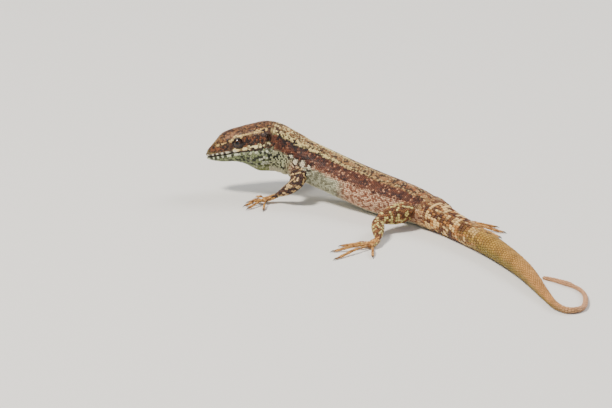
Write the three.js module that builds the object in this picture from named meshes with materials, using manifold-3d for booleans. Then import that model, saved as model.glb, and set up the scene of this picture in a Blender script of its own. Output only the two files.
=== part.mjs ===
// Wall lizard, life size, a still model resting on its belly and tail with the chest raised.
// Millimetres, +Z up. The head points towards -X and the animal's left side towards -Y.
// The body is one lofted form parted into lengths by thin cuts, so every length stays a
// simple closed solid; the limbs are bent capsules that stop just short of the flanks.

import * as THREE from 'three';
import { mergeVertices } from 'three/addons/utils/BufferGeometryUtils.js';
import Module from 'manifold-3d';

const wasm = await Module();
wasm.setup();

// ---------------------------------------------------------------- driving dimensions
const GAP = 0.3;                   // the thin cut between neighbouring pieces
const MIDDLE = [51.52, 2.5];       // plan position of the middle of the whole animal
const SNOUT = [-3.3, -6.2, 7.65];   // tip of the snout, on the line of the mouth
const HEAD_LENGTH = 14;            // snout tip to ear opening
const HEAD_HEADING = 46;           // degrees to the left of straight forward (-X)
const HEAD_PITCH = 15.5;           // degrees nose down
const EAR_OVERLAP = 0.3;           // how far the head is lofted past its cut, in steps
const SQUARE_BODY = 0.9;           // under 1 the sections are fuller at their corners
const SQUARE_HEAD = 0.8;
const JAW_LENGTH = 10.6;           // snout tip to the corner of the mouth
const EYE_RADIUS = 1.45;
const EYE = { along: 7.9, side: 2.45, above: 1.85 };
const FINGER_RADIUS = 0.38;
const TOE_RADIUS = 0.42;
const CLAW_RADIUS = 0.27;          // at the very tip of a digit
const FOREFOOT = 2.1;              // radius inside which the digits belong to the hand
const HINDFOOT = 2.7;              // and to the foot
const OVERRUN = 0.5;               // how far a limb segment runs past its joint before the cut
const ELBOW = 0.5;                 // share of the upper segment where its middle radius sits
const CALF = 0.35;                 // share of the lower segment where its muscle is thickest
const BACK_OF_TORSO = 8.4;         // the limbs are cut clear of the body up to this section

// Head sections: distance from the snout tip, drop of the section's centre below the line
// of the mouth, half width, height above and depth below that centre.
const HEAD = [
  [0.0, 0, 0.55, 0.70, 0.45], [0.5, 0, 1.15, 1.30, 0.80], [1.4, 0, 1.75, 1.95, 1.20],
  [3.0, 0, 2.45, 2.95, 1.80], [4.2, 0, 2.90, 4.00, 2.05], [5.5, 0, 3.30, 4.40, 2.25],
  [7.0, 0, 3.65, 4.50, 2.65], [9.0, 0.25, 4.20, 4.80, 3.60], [11.0, 0.7, 4.60, 5.20, 4.60],
  [12.6, 1.05, 4.65, 5.45, 5.15], [14.0, 1.35, 4.50, 5.55, 5.20],
];

// Body sections from the neck to the tip of the tail: centre x, y, z, half width, height
// above and depth below the centre. From the belly back each one just dips under z = 0,
// where the floor plane trims it flat.
const BODY = [
  [8.7, 5.5, 9.4, 4.30, 4.85, 4.90],      // 1 neck
  [12.5, 7.3, 8.1, 4.60, 4.10, 4.60],      // 2 shoulders
  [18.0, 9.2, 6.5, 4.95, 3.90, 4.20],      // 3
  [24.5, 10.6, 5.2, 5.20, 3.70, 4.10],     // 4 mid trunk
  [32.6, 11.8, 4.2, 5.15, 3.60, 4.32],     // 5 belly, on the floor
  [41.5, 12.5, 3.8, 4.20, 3.35, 3.92],     // 6 hips
  [47.4, 12.4, 3.2, 3.45, 2.90, 3.32],     // 7 tail root
  [54.4, 11.6, 2.6, 2.70, 2.60, 2.70],     // 8
  [69.8, 8.4, 2.15, 2.25, 2.20, 2.25],     // 9
  [83.7, 3.7, 1.75, 1.82, 1.80, 1.85],     // 10
  [96.6, -2.6, 1.0, 1.10, 1.10, 1.10],     // 11
  [102.2, -5.1, 0.82, 0.90, 0.90, 0.92],   // 12 start of the curl
  [105.4, -4.9, 0.74, 0.82, 0.82, 0.84],   // 13
  [106.1, -2.2, 0.68, 0.76, 0.76, 0.78],   // 14
  [102.6, 2.5, 0.61, 0.69, 0.69, 0.71],    // 15
  [97.2, 6.3, 0.54, 0.61, 0.61, 0.63],     // 16
  [91.3, 6.9, 0.44, 0.50, 0.50, 0.52],     // 17
  [86.3, 6.3, 0.34, 0.36, 0.36, 0.42],     // 18 tip
];

// Where the body is parted, as the numbers beside the table above, 0 being the ear: node
// name, start, end, sections along it and sides around it.
const LENGTHS = [
  ['neck', 0, 1.55, 4, 20], ['trunk', 1.55, 5.3, 10, 20], ['hips', 5.3, 7.0, 4, 20],
  ['tail_1', 7.0, 8.55, 5, 18], ['tail_2', 8.55, 9.5, 5, 16], ['tail_3', 9.5, 10.5, 5, 14],
  ['tail_4', 10.5, 11.9, 5, 12], ['tail_5', 11.9, 14.2, 8, 10], ['tail_6', 14.2, 16.1, 6, 10],
  ['tail_7', 16.1, 18, 6, 10],
];

// Limbs: joint positions, then the middle of the hand or foot and the tip of each digit
// on the floor, digit 1 first.
const LIMBS = {
  left_fore: {
    names: ['upper_arm', 'forearm', 'hand', 'finger'], disc: FOREFOOT, digit: FINGER_RADIUS,
    joints: [[13.9, 4.3, 6.6], [18.7, 1.3, 5.2], [12.7, -0.3, 1.5], [11.8, -2.4, 0.62]],
    radii: [2.0, 1.75, 1.35, 1.4, 0.82], palm: [1.2, 0.66],
    tips: [[7.0, -1.4], [9.0, -6.1], [10.5, -8.3], [12.7, -9.2], [15.9, -7.1]],
  },
  right_fore: {
    names: ['upper_arm', 'forearm', 'hand', 'finger'], disc: FOREFOOT, digit: FINGER_RADIUS,
    joints: [[10.7, 10.2, 6.6], [12.2, 15.6, 4.9], [6.8, 15.0, 1.5], [4.7, 16.1, 0.62]],
    radii: [2.0, 1.75, 1.35, 1.4, 0.82], palm: [1.2, 0.66],
    tips: [[1.2, 13.9], [-0.6, 16.7], [0.3, 19.7], [2.6, 22.0], [6.7, 20.6]],
  },
  left_hind: {
    names: ['thigh', 'shank', 'foot', 'toe'], disc: HINDFOOT, digit: TOE_RADIUS,
    joints: [[44.2, 10.2, 3.9], [42.2, 1.1, 3.2], [48.4, -3.8, 1.35], [48.9, -6.2, 0.68]],
    radii: [2.7, 2.2, 1.5, 1.55, 0.95], palm: [1.4, 0.72],
    tips: [[44.2, -7.4], [43.4, -10.8], [45.1, -14.6], [49.4, -17.6], [54.2, -10.9]],
  },
  right_hind: {
    names: ['thigh', 'shank', 'foot', 'toe'], disc: HINDFOOT, digit: TOE_RADIUS,
    joints: [[43.2, 14.4, 3.6], [41.3, 20.4, 2.2], [48.8, 17.4, 1.3], [51.0, 17.2, 0.68]],
    radii: [2.5, 1.9, 1.35, 1.4, 0.95], palm: [1.4, 0.72],
    tips: [[53.3, 21.6], [56.8, 22.6], [60.6, 21.1], [62.3, 18.1], [56.3, 15.7]],
  },
};

// Centre line of a digit: share of the way from the middle of the palm to the tip, height
// above the floor. It starts inside the palm, rises over the knuckle and comes down to the
// claw, and it has thinned to TAPER of its radius at TAPER_AT of its length.
const DIGIT_LINE = [[-0.12, 0.7], [0.45, 0.95], [0.7, 0.55], [0.9, 0.3], [1, 0.22]];
const TAPER = 0.85;
const TAPER_AT = 0.75;

// Colours of the animal, lengthwise and by part.
const COLOUR = {
  head: 0x8d6a43, lower_jaw: 0xa3a58c, eye: 0x120d0a, neck: 0x86603d, trunk: 0x8a5f3d,
  hips: 0x9a6f45, tail: 0xa5803f, curl: 0xb98e66, limb: 0x6d4c37, digit: 0xa98355,
};

// ---------------------------------------------------------------- small helpers
const vec = (a) => new THREE.Vector3(...a);
const { lerp } = THREE.MathUtils;
const rad = THREE.MathUtils.degToRad;
const UP = vec([0, 0, 1]);
const signedPower = (value, power) => Math.sign(value) * Math.abs(value) ** power;

// A closed three.js geometry becomes a manifold solid once its shared corners are merged.
function toSolid(geometry) {
  geometry.deleteAttribute('normal');
  geometry.deleteAttribute('uv');
  const merged = mergeVertices(geometry, 1e-4);
  return new wasm.Manifold(new wasm.Mesh({
    numProp: 3,
    vertProperties: new Float32Array(merged.attributes.position.array),
    triVerts: new Uint32Array(merged.index.array),
  }));
}

function toMesh(solid, name, colour, roughness) {
  const { numProp, vertProperties, triVerts } = solid.getMesh();
  const position = new Float32Array((vertProperties.length / numProp) * 3);
  for (let i = 0; i < position.length / 3; i += 1) {
    position.set(vertProperties.subarray(i * numProp, i * numProp + 3), i * 3);
  }
  const geometry = new THREE.BufferGeometry();
  geometry.setAttribute('position', new THREE.BufferAttribute(position, 3));
  geometry.setIndex(new THREE.BufferAttribute(new Uint32Array(triVerts), 1));
  geometry.computeVertexNormals();
  const material = new THREE.MeshStandardMaterial({ color: colour, roughness, metalness: 0 });
  const mesh = new THREE.Mesh(geometry, material);
  mesh.name = name;
  return mesh;
}

// Section axes at a point of a curve: `side` is level and points to the animal's left
// when the curve runs from head to tail, and `up` completes the frame.
function frameAt(curve, u) {
  const along = curve.getTangent(THREE.MathUtils.clamp(u, 0, 1));
  const side = new THREE.Vector3().crossVectors(along, UP).normalize();
  return { centre: curve.getPoint(u), side, up: new THREE.Vector3().crossVectors(side, along) };
}

// Bends a unit cylinder along a curve. `sizes(u)` gives half width, height above and depth
// below the centre; `square` under 1 makes the section fuller at its corners.
function loft(curve, sizes, from, to, along, around, square = SQUARE_BODY) {
  const geometry = new THREE.CylinderGeometry(1, 1, 1, around, along);
  const position = geometry.attributes.position;
  for (let i = 0; i < position.count; i += 1) {
    const u = lerp(from, to, position.getY(i) + 0.5);
    const { centre, side, up } = frameAt(curve, u);
    const size = sizes(u);
    const x = signedPower(position.getX(i), square) * size.x;
    const z = signedPower(position.getZ(i), square);
    centre.addScaledVector(side, x).addScaledVector(up, z * (z > 0 ? size.y : size.z));
    position.setXYZ(i, centre.x, centre.y, centre.z);
  }
  return toSolid(geometry);
}

// Bends a unit sphere along a curve into a round-ended limb. `radius(u)` is its radius and
// `flat` squashes it in height.
function capsule(curve, radius, along, around, flat = 1) {
  const geometry = new THREE.SphereGeometry(1, around, along);
  const position = geometry.attributes.position;
  for (let i = 0; i < position.count; i += 1) {
    const polar = Math.acos(THREE.MathUtils.clamp(position.getY(i), -1, 1));
    const ring = Math.sin(polar);
    const u = 1 - polar / Math.PI;
    const { centre, side, up } = frameAt(curve, u);
    const swell = ring < 1e-6 ? 0 : (radius(u) * ring ** 0.4) / ring;
    centre.addScaledVector(side, position.getX(i) * swell);
    centre.addScaledVector(up, position.getZ(i) * swell * flat);
    position.setXYZ(i, centre.x, centre.y, centre.z);
  }
  return toSolid(geometry);
}

// A box larger than any one piece, on the far side of the plane through `point` with this
// normal: subtracting it cuts a piece off at that plane.
function beyond(point, normal) {
  const size = 40;
  const geometry = new THREE.BoxGeometry(size, size, size);
  geometry.translate(0, 0, size / 2);
  geometry.applyQuaternion(new THREE.Quaternion().setFromUnitVectors(UP, normal));
  geometry.translate(point.x, point.y, point.z);
  return toSolid(geometry);
}

function disc(centre, radius) {
  const geometry = new THREE.CylinderGeometry(radius, radius, 12, 12);
  geometry.rotateX(Math.PI / 2);
  geometry.translate(centre.x, centre.y, 0);
  return toSolid(geometry);
}

function ball(centre, radius) {
  const geometry = new THREE.SphereGeometry(radius, 12, 9);
  geometry.translate(centre.x, centre.y, centre.z);
  return toSolid(geometry);
}

// ---------------------------------------------------------------- head frame and body
const heading = rad(HEAD_HEADING);
const pitch = rad(HEAD_PITCH);
const forward = vec([-Math.cos(heading) * Math.cos(pitch), -Math.sin(heading) * Math.cos(pitch),
  -Math.sin(pitch)]);
const headLeft = new THREE.Vector3().crossVectors(UP, forward).normalize();
const headUp = new THREE.Vector3().crossVectors(forward, headLeft);
const onHead = (along, left, above) => vec(SNOUT).addScaledVector(forward, -along)
  .addScaledVector(headLeft, left).addScaledVector(headUp, above);

const parts = [];
const keep = (name, solid, colour, roughness = 0.6) => {
  parts.push({ name, solid, colour, roughness });
};

// One curve of section centres and one of section sizes run from the snout to the tail.
const centres = [...HEAD.map((row) => onHead(row[0], 0, -row[1])),
  ...BODY.map((row) => vec(row.slice(0, 3)))];
const sizes = [...HEAD.map((row) => vec(row.slice(2))), ...BODY.map((row) => vec(row.slice(3)))];
const spine = new THREE.CatmullRomCurve3(centres, false, 'centripetal');
const girth = (extra = 0) => {
  const curve = new THREE.CatmullRomCurve3(sizes.map((size) => size.clone().addScalar(extra)));
  return (u) => curve.getPoint(u);
};
const steps = centres.length - 1;
const earStep = HEAD.length - 1;
const share = (place) => (earStep + place) / steps;
const inset = (u) => {
  const nudge = 1e-3;
  return (nudge * GAP) / 2 / spine.getPoint(u).distanceTo(spine.getPoint(u - nudge));
};

// The head is turned and tipped against the neck, so the plane through the ear parts them.
const earPoint = spine.getPoint(share(0));
const earWay = spine.getTangent(share(0));
const behindEar = beyond(earPoint.clone().addScaledVector(earWay, -GAP / 2), earWay);
const beforeEar = beyond(earPoint.clone().addScaledVector(earWay, GAP / 2), earWay.clone().negate());

for (const [name, start, end, along, around] of LENGTHS) {
  const from = share(start) + inset(share(start));
  const to = end === BODY.length ? 1 : share(end) - inset(share(end));
  const colour = COLOUR[name] ?? (name > 'tail_4' ? COLOUR.curl : COLOUR.tail);
  const length = loft(spine, girth(), from, to, along, around);
  keep(name, start === 0 ? length.subtract(beforeEar) : length, colour);
}
const torso = loft(spine, girth(GAP), share(EAR_OVERLAP), share(BACK_OF_TORSO), 20, 20);

// ---------------------------------------------------------------- skull, jaw and eyes
const wholeHead = loft(spine, girth(), 0, share(EAR_OVERLAP), 13, 22, SQUARE_HEAD)
  .subtract(behindEar);

// A box from in front of the snout to `back`, below `top`, in head directions.
const jawBlock = (back, top) => {
  const spare = 5;
  const geometry = new THREE.BoxGeometry(back + spare, HEAD_LENGTH, 2 * spare);
  geometry.translate(-(back - spare) / 2, 0, top - spare);
  const turn = new THREE.Matrix4().makeBasis(forward, headLeft, headUp).setPosition(vec(SNOUT));
  geometry.applyMatrix4(turn);
  return toSolid(geometry);
};
const eyes = [['eye_left', 1], ['eye_right', -1]].map(([name, way]) => {
  const centre = onHead(EYE.along, way * EYE.side, EYE.above);
  keep(name, ball(centre, EYE_RADIUS), COLOUR.eye, 0.15);
  return ball(centre, EYE_RADIUS + GAP);
});
const skull = eyes.reduce((solid, socket) => solid.subtract(socket),
  wholeHead.subtract(jawBlock(JAW_LENGTH + GAP, GAP / 2)));
keep('head', skull, COLOUR.head);
keep('lower_jaw', wholeHead.intersect(jawBlock(JAW_LENGTH, -GAP / 2)), COLOUR.lower_jaw);

// ---------------------------------------------------------------- limbs
// Each segment is a capsule; the plane that halves the bend parts it from the next one.
for (const [limbName, limb] of Object.entries(LIMBS)) {
  const joints = limb.joints.map(vec);
  const way = joints.slice(1).map((joint, i) => joint.clone().sub(joints[i]).normalize());
  const bend = [1, 2].map((i) => way[i - 1].clone().add(way[i]).normalize());
  const shift = (i, amount) => joints[i].clone().addScaledVector(bend[i - 1], amount);
  const [side] = limbName.split('_');
  const label = (piece) => `${side}_${limb.names[piece]}`;
  const [r0, r1, r2, r3, r4] = limb.radii;

  const upper = capsule(new THREE.LineCurve3(joints[0], shift(1, OVERRUN)), (u) => (
    u < ELBOW ? lerp(r0, r1, u / ELBOW) : lerp(r1, r2, (u - ELBOW) / (1 - ELBOW))), 8, 10);
  keep(label(0), upper.subtract(torso).subtract(beyond(shift(1, -GAP / 2), bend[0])), COLOUR.limb);

  const lower = capsule(new THREE.LineCurve3(shift(1, -OVERRUN), shift(2, OVERRUN)), (u) => (
    u < CALF ? lerp(r2, r3, u / CALF) : lerp(r3, r4, (u - CALF) / (1 - CALF))), 8, 10);
  keep(label(1), lower.subtract(beyond(shift(1, GAP / 2), bend[0].clone().negate()))
    .subtract(beyond(shift(2, -GAP / 2), bend[1])).subtract(torso), COLOUR.limb);

  // The palm widens from the wrist, and the digits fan out of it with a raised knuckle.
  const [palmRadius, palmHeight] = limb.palm;
  const palmEnd = joints[3].clone().addScaledVector(way[2].clone().setZ(0).normalize(), palmRadius);
  let palm = capsule(new THREE.LineCurve3(shift(2, -OVERRUN), palmEnd),
    (u) => lerp(r4, palmRadius, Math.sqrt(u)), 7, 10, palmHeight / palmRadius);
  const inner = disc(joints[3], limb.disc);
  const outer = disc(joints[3], limb.disc + GAP);
  const r = limb.digit;
  limb.tips.forEach((tip, i) => {
    const path = new THREE.CatmullRomCurve3(DIGIT_LINE.map(([at, height]) => vec([
      lerp(joints[3].x, tip[0], at), lerp(joints[3].y, tip[1], at), height])));
    const digit = capsule(path, (u) => (u < TAPER_AT ? lerp(r, r * TAPER, u / TAPER_AT)
      : lerp(r * TAPER, CLAW_RADIUS, (u - TAPER_AT) / (1 - TAPER_AT))), 9, 6);
    palm = palm.add(digit.intersect(inner));
    keep(`${side}_${limb.names[3]}_${i + 1}`, digit.subtract(outer), COLOUR.digit);
  });
  keep(label(2), palm.subtract(beyond(shift(2, GAP / 2), bend[1].clone().negate())), COLOUR.limb);
}

// ---------------------------------------------------------------- floor and assembly
const ROOM = 240;                  // wider than the animal is long
const floorBox = new THREE.BoxGeometry(ROOM, ROOM, ROOM);
floorBox.translate(MIDDLE[0], MIDDLE[1], ROOM / 2);
const aboveFloor = toSolid(floorBox);

const lizard = new THREE.Group();
for (const { name, solid, colour, roughness } of parts) {
  lizard.add(toMesh(solid.intersect(aboveFloor), name, colour, roughness));
}
lizard.position.set(-MIDDLE[0], -MIDDLE[1], 0);

export default lizard;
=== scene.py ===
# %% [markdown]
# # A wall lizard, life size
# This lesson dresses the packed solids of a common wall lizard: one skin over the whole
# body, thousands of small raised scales laid on it, and separate eyes and claws. The
# shapes come first, then the colours, then the light and the camera.

import math

import bmesh
import bpy
import numpy as np
from mathutils import Matrix, Vector, noise
from mathutils.bvhtree import BVHTree
from mathutils.kdtree import KDTree


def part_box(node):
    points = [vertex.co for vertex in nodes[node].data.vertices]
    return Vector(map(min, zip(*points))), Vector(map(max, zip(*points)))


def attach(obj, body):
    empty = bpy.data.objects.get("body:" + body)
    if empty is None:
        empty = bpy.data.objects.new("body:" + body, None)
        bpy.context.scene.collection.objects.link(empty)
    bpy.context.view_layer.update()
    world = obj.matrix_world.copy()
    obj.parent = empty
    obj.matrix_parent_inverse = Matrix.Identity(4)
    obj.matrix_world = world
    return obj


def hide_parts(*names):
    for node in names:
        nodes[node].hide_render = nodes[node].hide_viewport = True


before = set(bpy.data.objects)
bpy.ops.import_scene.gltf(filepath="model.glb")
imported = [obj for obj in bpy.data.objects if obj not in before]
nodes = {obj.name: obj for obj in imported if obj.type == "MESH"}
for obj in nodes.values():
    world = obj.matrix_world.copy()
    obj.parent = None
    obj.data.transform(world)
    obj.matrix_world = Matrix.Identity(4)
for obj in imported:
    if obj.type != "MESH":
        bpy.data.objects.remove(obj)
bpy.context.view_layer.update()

# %% [markdown]
# The animal is small, so the lesson works in millimetres and brings each finished mesh to
# metres at the end. These sizes are the ones that the solids were built from: where the
# snout is, which way the head looks, and a row of points along the middle of the body.

# %% Driving sizes, in millimetres
MM = 0.001
MIDDLE = Vector((51.52, 2.5, 0))     # the frame's middle, in the solids' own layout
SNOUT = Vector((-3.3, -6.2, 7.65)) - MIDDLE
HEAD_HEADING, HEAD_PITCH = math.radians(46), math.radians(15.5)
JAW_LENGTH = 10.6
# Inside the head: distance from the snout, and how far the backbone drops below the mouth.
HEAD_DROP = [(0, 0), (7, 0), (9, 0.25), (11, 0.7), (12.6, 1.05), (14, 1.35)]
# Middles of the body's sections behind the head, in the solids' own layout.
BACKBONE = [
    (8.7, 5.5, 9.4), (12.5, 7.3, 8.1), (18.0, 9.2, 6.5), (24.5, 10.6, 5.2), (32.6, 11.8, 4.2),
    (41.5, 12.5, 3.8), (47.4, 12.4, 3.2), (54.4, 11.6, 2.6), (69.8, 8.4, 2.15), (83.7, 3.7, 1.75),
    (96.6, -2.6, 1.0), (102.2, -5.1, 0.82), (105.4, -4.9, 0.74), (106.1, -2.2, 0.68),
    (102.6, 2.5, 0.61), (97.2, 6.3, 0.54), (91.3, 6.9, 0.44), (86.3, 6.3, 0.34),
]
VENT = 57.0          # where the tail begins, from the snout
COAT = 0.12          # how deep under the solids' surface the bare skin lies
DIGIT_COAT = 0.06
VOXEL = 0.24         # mesh size of the skin
EYE_PLUG = 1.55      # ball that closes each eye socket while the skin is made
EYEBALL = 1.32       # radius of the eye
LID = 0.14           # thickness of a lid
OPENING = (1.26, 0.80, 0.66)  # half length of the eye's opening, its height up and down
print("skin %.2f mm under the solids, in a mesh of %.2f mm" % (COAT, VOXEL))

# %% [markdown]
# A lizard bends, so x, y and z say little about where on the animal a point lies. A painted
# map could say it, but it would have to be redone after each change of shape. Here the head
# gets three axes of its own, and a smooth curve through the body's middle gives every point
# two numbers: how far along the body it is, and how far round it.

# %% Axes of the head
def spot(x, y, z):
    """A point given in the solids' own layout, moved to the frame's middle."""
    return Vector((x, y, z)) - MIDDLE


FORWARD = Vector((-math.cos(HEAD_HEADING) * math.cos(HEAD_PITCH),
                  -math.sin(HEAD_HEADING) * math.cos(HEAD_PITCH), -math.sin(HEAD_PITCH)))
HEAD_LEFT = Vector((0, 0, 1)).cross(FORWARD).normalized()
HEAD_UP = FORWARD.cross(HEAD_LEFT)
HEAD_AXES = np.array([-FORWARD, HEAD_LEFT, HEAD_UP])


def on_head(along, left, above):
    """A point of the head: millimetres back from the snout, to its left, above the mouth."""
    return SNOUT - FORWARD * along + HEAD_LEFT * left + HEAD_UP * above


def head_place(points):
    """The same three measures for many points at once."""
    return (points - np.array(SNOUT)) @ HEAD_AXES.T


print("the head looks along", [round(v, 2) for v in FORWARD])

# %% [markdown]
# The backbone itself never shows. Straight lines between the section centres would make the
# rings of scales jump at each joint, so a curve with automatic handles rounds them off, and
# the curve is turned into many close points that are quick to search.

# %% The backbone
knots = [on_head(along, 0, -drop) for along, drop in HEAD_DROP] + [spot(*p) for p in BACKBONE]
line = bpy.data.curves.new("backbone", "CURVE")
line.dimensions = "3D"
spline = line.splines.new("BEZIER")
spline.bezier_points.add(len(knots) - 1)
for point, knot in zip(spline.bezier_points, knots):
    point.co = knot
    point.handle_left_type = point.handle_right_type = "AUTO"
spline.resolution_u = 24
line_object = bpy.data.objects.new("backbone", line)
traced = line_object.to_mesh()
SPINE = np.array([v.co for v in traced.vertices])
line_object.to_mesh_clear()
bpy.data.objects.remove(line_object)
SPINE_WAY = np.gradient(SPINE, axis=0)
SPINE_WAY /= np.linalg.norm(SPINE_WAY, axis=1)[:, None]
SPINE_SIDE = np.cross(SPINE_WAY, (0, 0, 1))
SPINE_SIDE /= np.linalg.norm(SPINE_SIDE, axis=1)[:, None]
SPINE_UP = np.cross(SPINE_SIDE, SPINE_WAY)
steps = np.linalg.norm(np.diff(SPINE, axis=0), axis=1)
SPINE_FAR = np.concatenate([[0], np.cumsum(steps)])
spine_tree = KDTree(len(SPINE))
for i, p in enumerate(SPINE):
    spine_tree.insert(p, i)
spine_tree.balance()
print("backbone: %d points, %.1f mm from snout to tail tip" % (len(SPINE), SPINE_FAR[-1]))

# %% [markdown]
# With the curve in place, a point is measured against the nearest bit of backbone: how far
# along, how far round and how far off. A soft step from 0 to 1 is the other helper that
# the shapes need everywhere, for a feature that fades in instead of starting at an edge.

# %% Places along and round the body
def body_place(points):
    """For each point: millimetres along the body from the snout, the turn round it from the
    back (0) to the belly (1), on the right as minus, and the distance from the backbone."""
    near = np.array([spine_tree.find(p)[1] for p in points])
    off = points - SPINE[near]
    along = SPINE_FAR[near] + np.einsum("ij,ij->i", off, SPINE_WAY[near])
    across = np.einsum("ij,ij->i", off, SPINE_SIDE[near])
    above = np.einsum("ij,ij->i", off, SPINE_UP[near])
    return along, np.arctan2(across, above) / math.pi, np.hypot(across, above)


def smooth_step(low, high, value):
    """0 below low, 1 above high and an even rise between; low may be the larger."""
    t = np.clip((value - low) / (high - low), 0, 1)
    return t * t * (3 - 2 * t)


print("the frame's middle lies", [round(float(v[0]), 2) for v in body_place(np.zeros((1, 3)))])

# %% [markdown]
# The solids are parted by thin cuts, as a model that is cut into named pieces has to be. A
# real skin has no cuts. They could be bridged by hand, or closed by swelling every piece
# alike, which would blunt the face. So only the faces that look at a neighbour less than a
# millimetre away are pushed towards it.

# %% Gather the flesh
TORSO = ("head", "lower_jaw", "neck", "trunk", "hips", "tail_")
flesh = sorted(name for name in nodes if not name.startswith("eye"))
shells, centre, owner = {}, {}, []
everything = bmesh.new()
for name in flesh:
    shell = bmesh.new()
    shell.from_mesh(nodes[name].data)
    bmesh.ops.remove_doubles(shell, verts=shell.verts, dist=1e-7)
    bmesh.ops.scale(shell, vec=(1000, 1000, 1000), verts=shell.verts)
    copy = bpy.data.meshes.new("copy")
    shell.to_mesh(copy)
    everything.from_mesh(copy)
    owner += [name] * len(copy.polygons)
    bpy.data.meshes.remove(copy)
    centre[name] = sum((v.co for v in shell.verts), Vector()) / len(shell.verts)
    shells[name] = shell
target = BVHTree.FromBMesh(everything)
everything.free()
print("flesh pieces:", len(flesh), "with", len(owner), "faces")

# %% [markdown]
# Not every neighbour should be reached. Toes lie close together and must stay apart, and a
# belly must not grow onto a knee. So a short list says who grows to whom. The eye sockets
# are closed with balls, so that the film that comes next can't sink into them.

# %% Grow the pieces together
REACH, GROWTH = {True: 0.75, False: 0.42}, {True: 0.95, False: 0.62}     # for the torso, for the limbs
FACING = 0.5         # a digit grows only by the faces that look this much towards its palm


def grows_to(name, other):
    """Whether flesh of one piece should reach for the other one."""
    if name.startswith(TORSO):
        return other.startswith(TORSO)
    if other.startswith(TORSO):
        return "arm" in name or "thigh" in name or "shank" in name
    digits = [("finger" in n or "toe" in n) for n in (name, other)]
    fore = [any(word in n for word in ("arm", "hand", "finger")) for n in (name, other)]
    return name.split("_")[0] == other.split("_")[0] and fore[0] == fore[1] and not all(digits)


def palm_of(name):
    """The hand or foot that a digit stands on, or nothing for any other piece."""
    for digit, palm in (("_finger_", "_hand"), ("_toe_", "_foot")):
        if digit in name:
            return name.split(digit)[0] + palm
    return None


def eye_middle(side):
    """Middle of an eye."""
    low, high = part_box("eye_" + side)
    return (low + high) * 500


grown = 0
for name, shell in shells.items():
    shell.normal_update()
    palm, push, broad = palm_of(name), {}, name.startswith(TORSO)
    inward = (centre[palm] - centre[name]).normalized() if palm else None
    for face in shell.faces:
        if inward is not None and face.normal.dot(inward) < FACING:
            continue
        start = face.calc_center_median() + face.normal * 0.01
        hit, _, index, _ = target.ray_cast(start, face.normal, REACH[broad])
        if hit is not None and owner[index] != name and grows_to(name, owner[index]):
            for vert in face.verts:
                push.setdefault(vert, []).append(face.normal)
    for vert, ways in push.items():
        vert.co += sum(ways, Vector()) / len(ways) * GROWTH[broad]
    grown += len(push)
for side in ("left", "right"):
    plug = bmesh.ops.create_icosphere(shells["head"], subdivisions=3, radius=EYE_PLUG)
    bmesh.ops.translate(shells["head"], vec=eye_middle(side), verts=plug["verts"])
print("corners moved across cuts:", grown)

# %% [markdown]
# The grown pieces now overlap. Metaballs or stitching by hand could join them, but a union
# keeps the shape of every piece. The voxel remesh after it works like shrink film: it lays
# one closed net of small even faces over the outside and leaves no walls inside.

# %% One closed skin
def put(name, data):
    """A new object in the scene with this mesh, light or camera."""
    obj = bpy.data.objects.new(name, data)
    bpy.context.scene.collection.objects.link(obj)
    return obj


def mesh_of(work, name):
    """A mesh made from a bmesh, which is then freed."""
    mesh = bpy.data.meshes.new(name)
    work.to_mesh(mesh)
    work.free()
    return mesh


pieces = []
grown_flesh = bmesh.new()
for name in flesh:
    pieces.append(put("piece_" + name, mesh_of(shells[name], name)))
    grown_flesh.from_mesh(pieces[-1].data)
base = pieces[flesh.index("trunk")]
for piece in pieces:
    if piece is not base:
        weld = base.modifiers.new(piece.name, "BOOLEAN")
        weld.operation, weld.solver, weld.object = "UNION", "MANIFOLD", piece
film = base.modifiers.new("film", "REMESH")
film.mode = "VOXEL"
film.voxel_size = VOXEL
bpy.context.view_layer.update()
remeshed = bpy.data.meshes.new_from_object(base.evaluated_get(bpy.context.evaluated_depsgraph_get()))
for piece in pieces:
    bpy.data.objects.remove(piece)
grown_surface = BVHTree.FromBMesh(grown_flesh)
grown_flesh.free()
print("skin after the remesh:", len(remeshed.vertices), "points,", len(remeshed.polygons), "faces")

# %% [markdown]
# Living skin has no facets. One strength of smoothing would do for the trunk and eat the
# toes, because each pass thins a thin thing. So every point remembers which solid lies
# nearest, and gets many passes on the broad body, fewer on the legs and two on the toes,
# whose points are first laid back on the surface that they had before the remesh.

# %% Smooth the skin, part by part
PASSES = {0: 36, 1: 12, 2: 2}    # rounds of smoothing for body, limbs and digits
THIN = 1.0           # flesh of a hand or foot thinner than this is a digit's root
FEET, TIP = ("hand", "foot"), ("tail_6", "tail_7")
body = bmesh.new()
body.from_mesh(remeshed)


def places(mesh):
    """All the points of a bmesh as one array."""
    return np.array([v.co for v in mesh.verts])


def kind_of(name):
    """Body, limb or digit, as a number that also orders them by thickness."""
    if name.startswith(TORSO):
        return 0
    return 2 if "finger" in name or "toe" in name else 1


def owners(points):
    """The solid nearest to each point."""
    return [owner[target.find_nearest(p)[2]] for p in points]


def thickness(tree, vert):
    """Flesh under a point of the skin, straight inwards, at most 2 mm."""
    hit = tree.ray_cast(vert.co - vert.normal * 0.02, -vert.normal, 2.0)
    return hit[3] if hit[0] is not None else 2.0


def kinds_here(thin_parts):
    """The kind of each point of the skin, where a thin place of the named parts counts as digit."""
    body.normal_update()
    tree = BVHTree.FromBMesh(body)
    found = []
    for vert, name in zip(body.verts, owners(places(body))):
        thin = name.endswith(thin_parts) and thickness(tree, vert) < THIN
        found.append(2 if thin else kind_of(name))
    return np.array(found)


def smooth(verts):
    """One round of smoothing of the chosen points."""
    bmesh.ops.smooth_vert(body, verts=verts, factor=0.5, use_axis_x=True, use_axis_y=True, use_axis_z=True)


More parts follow.
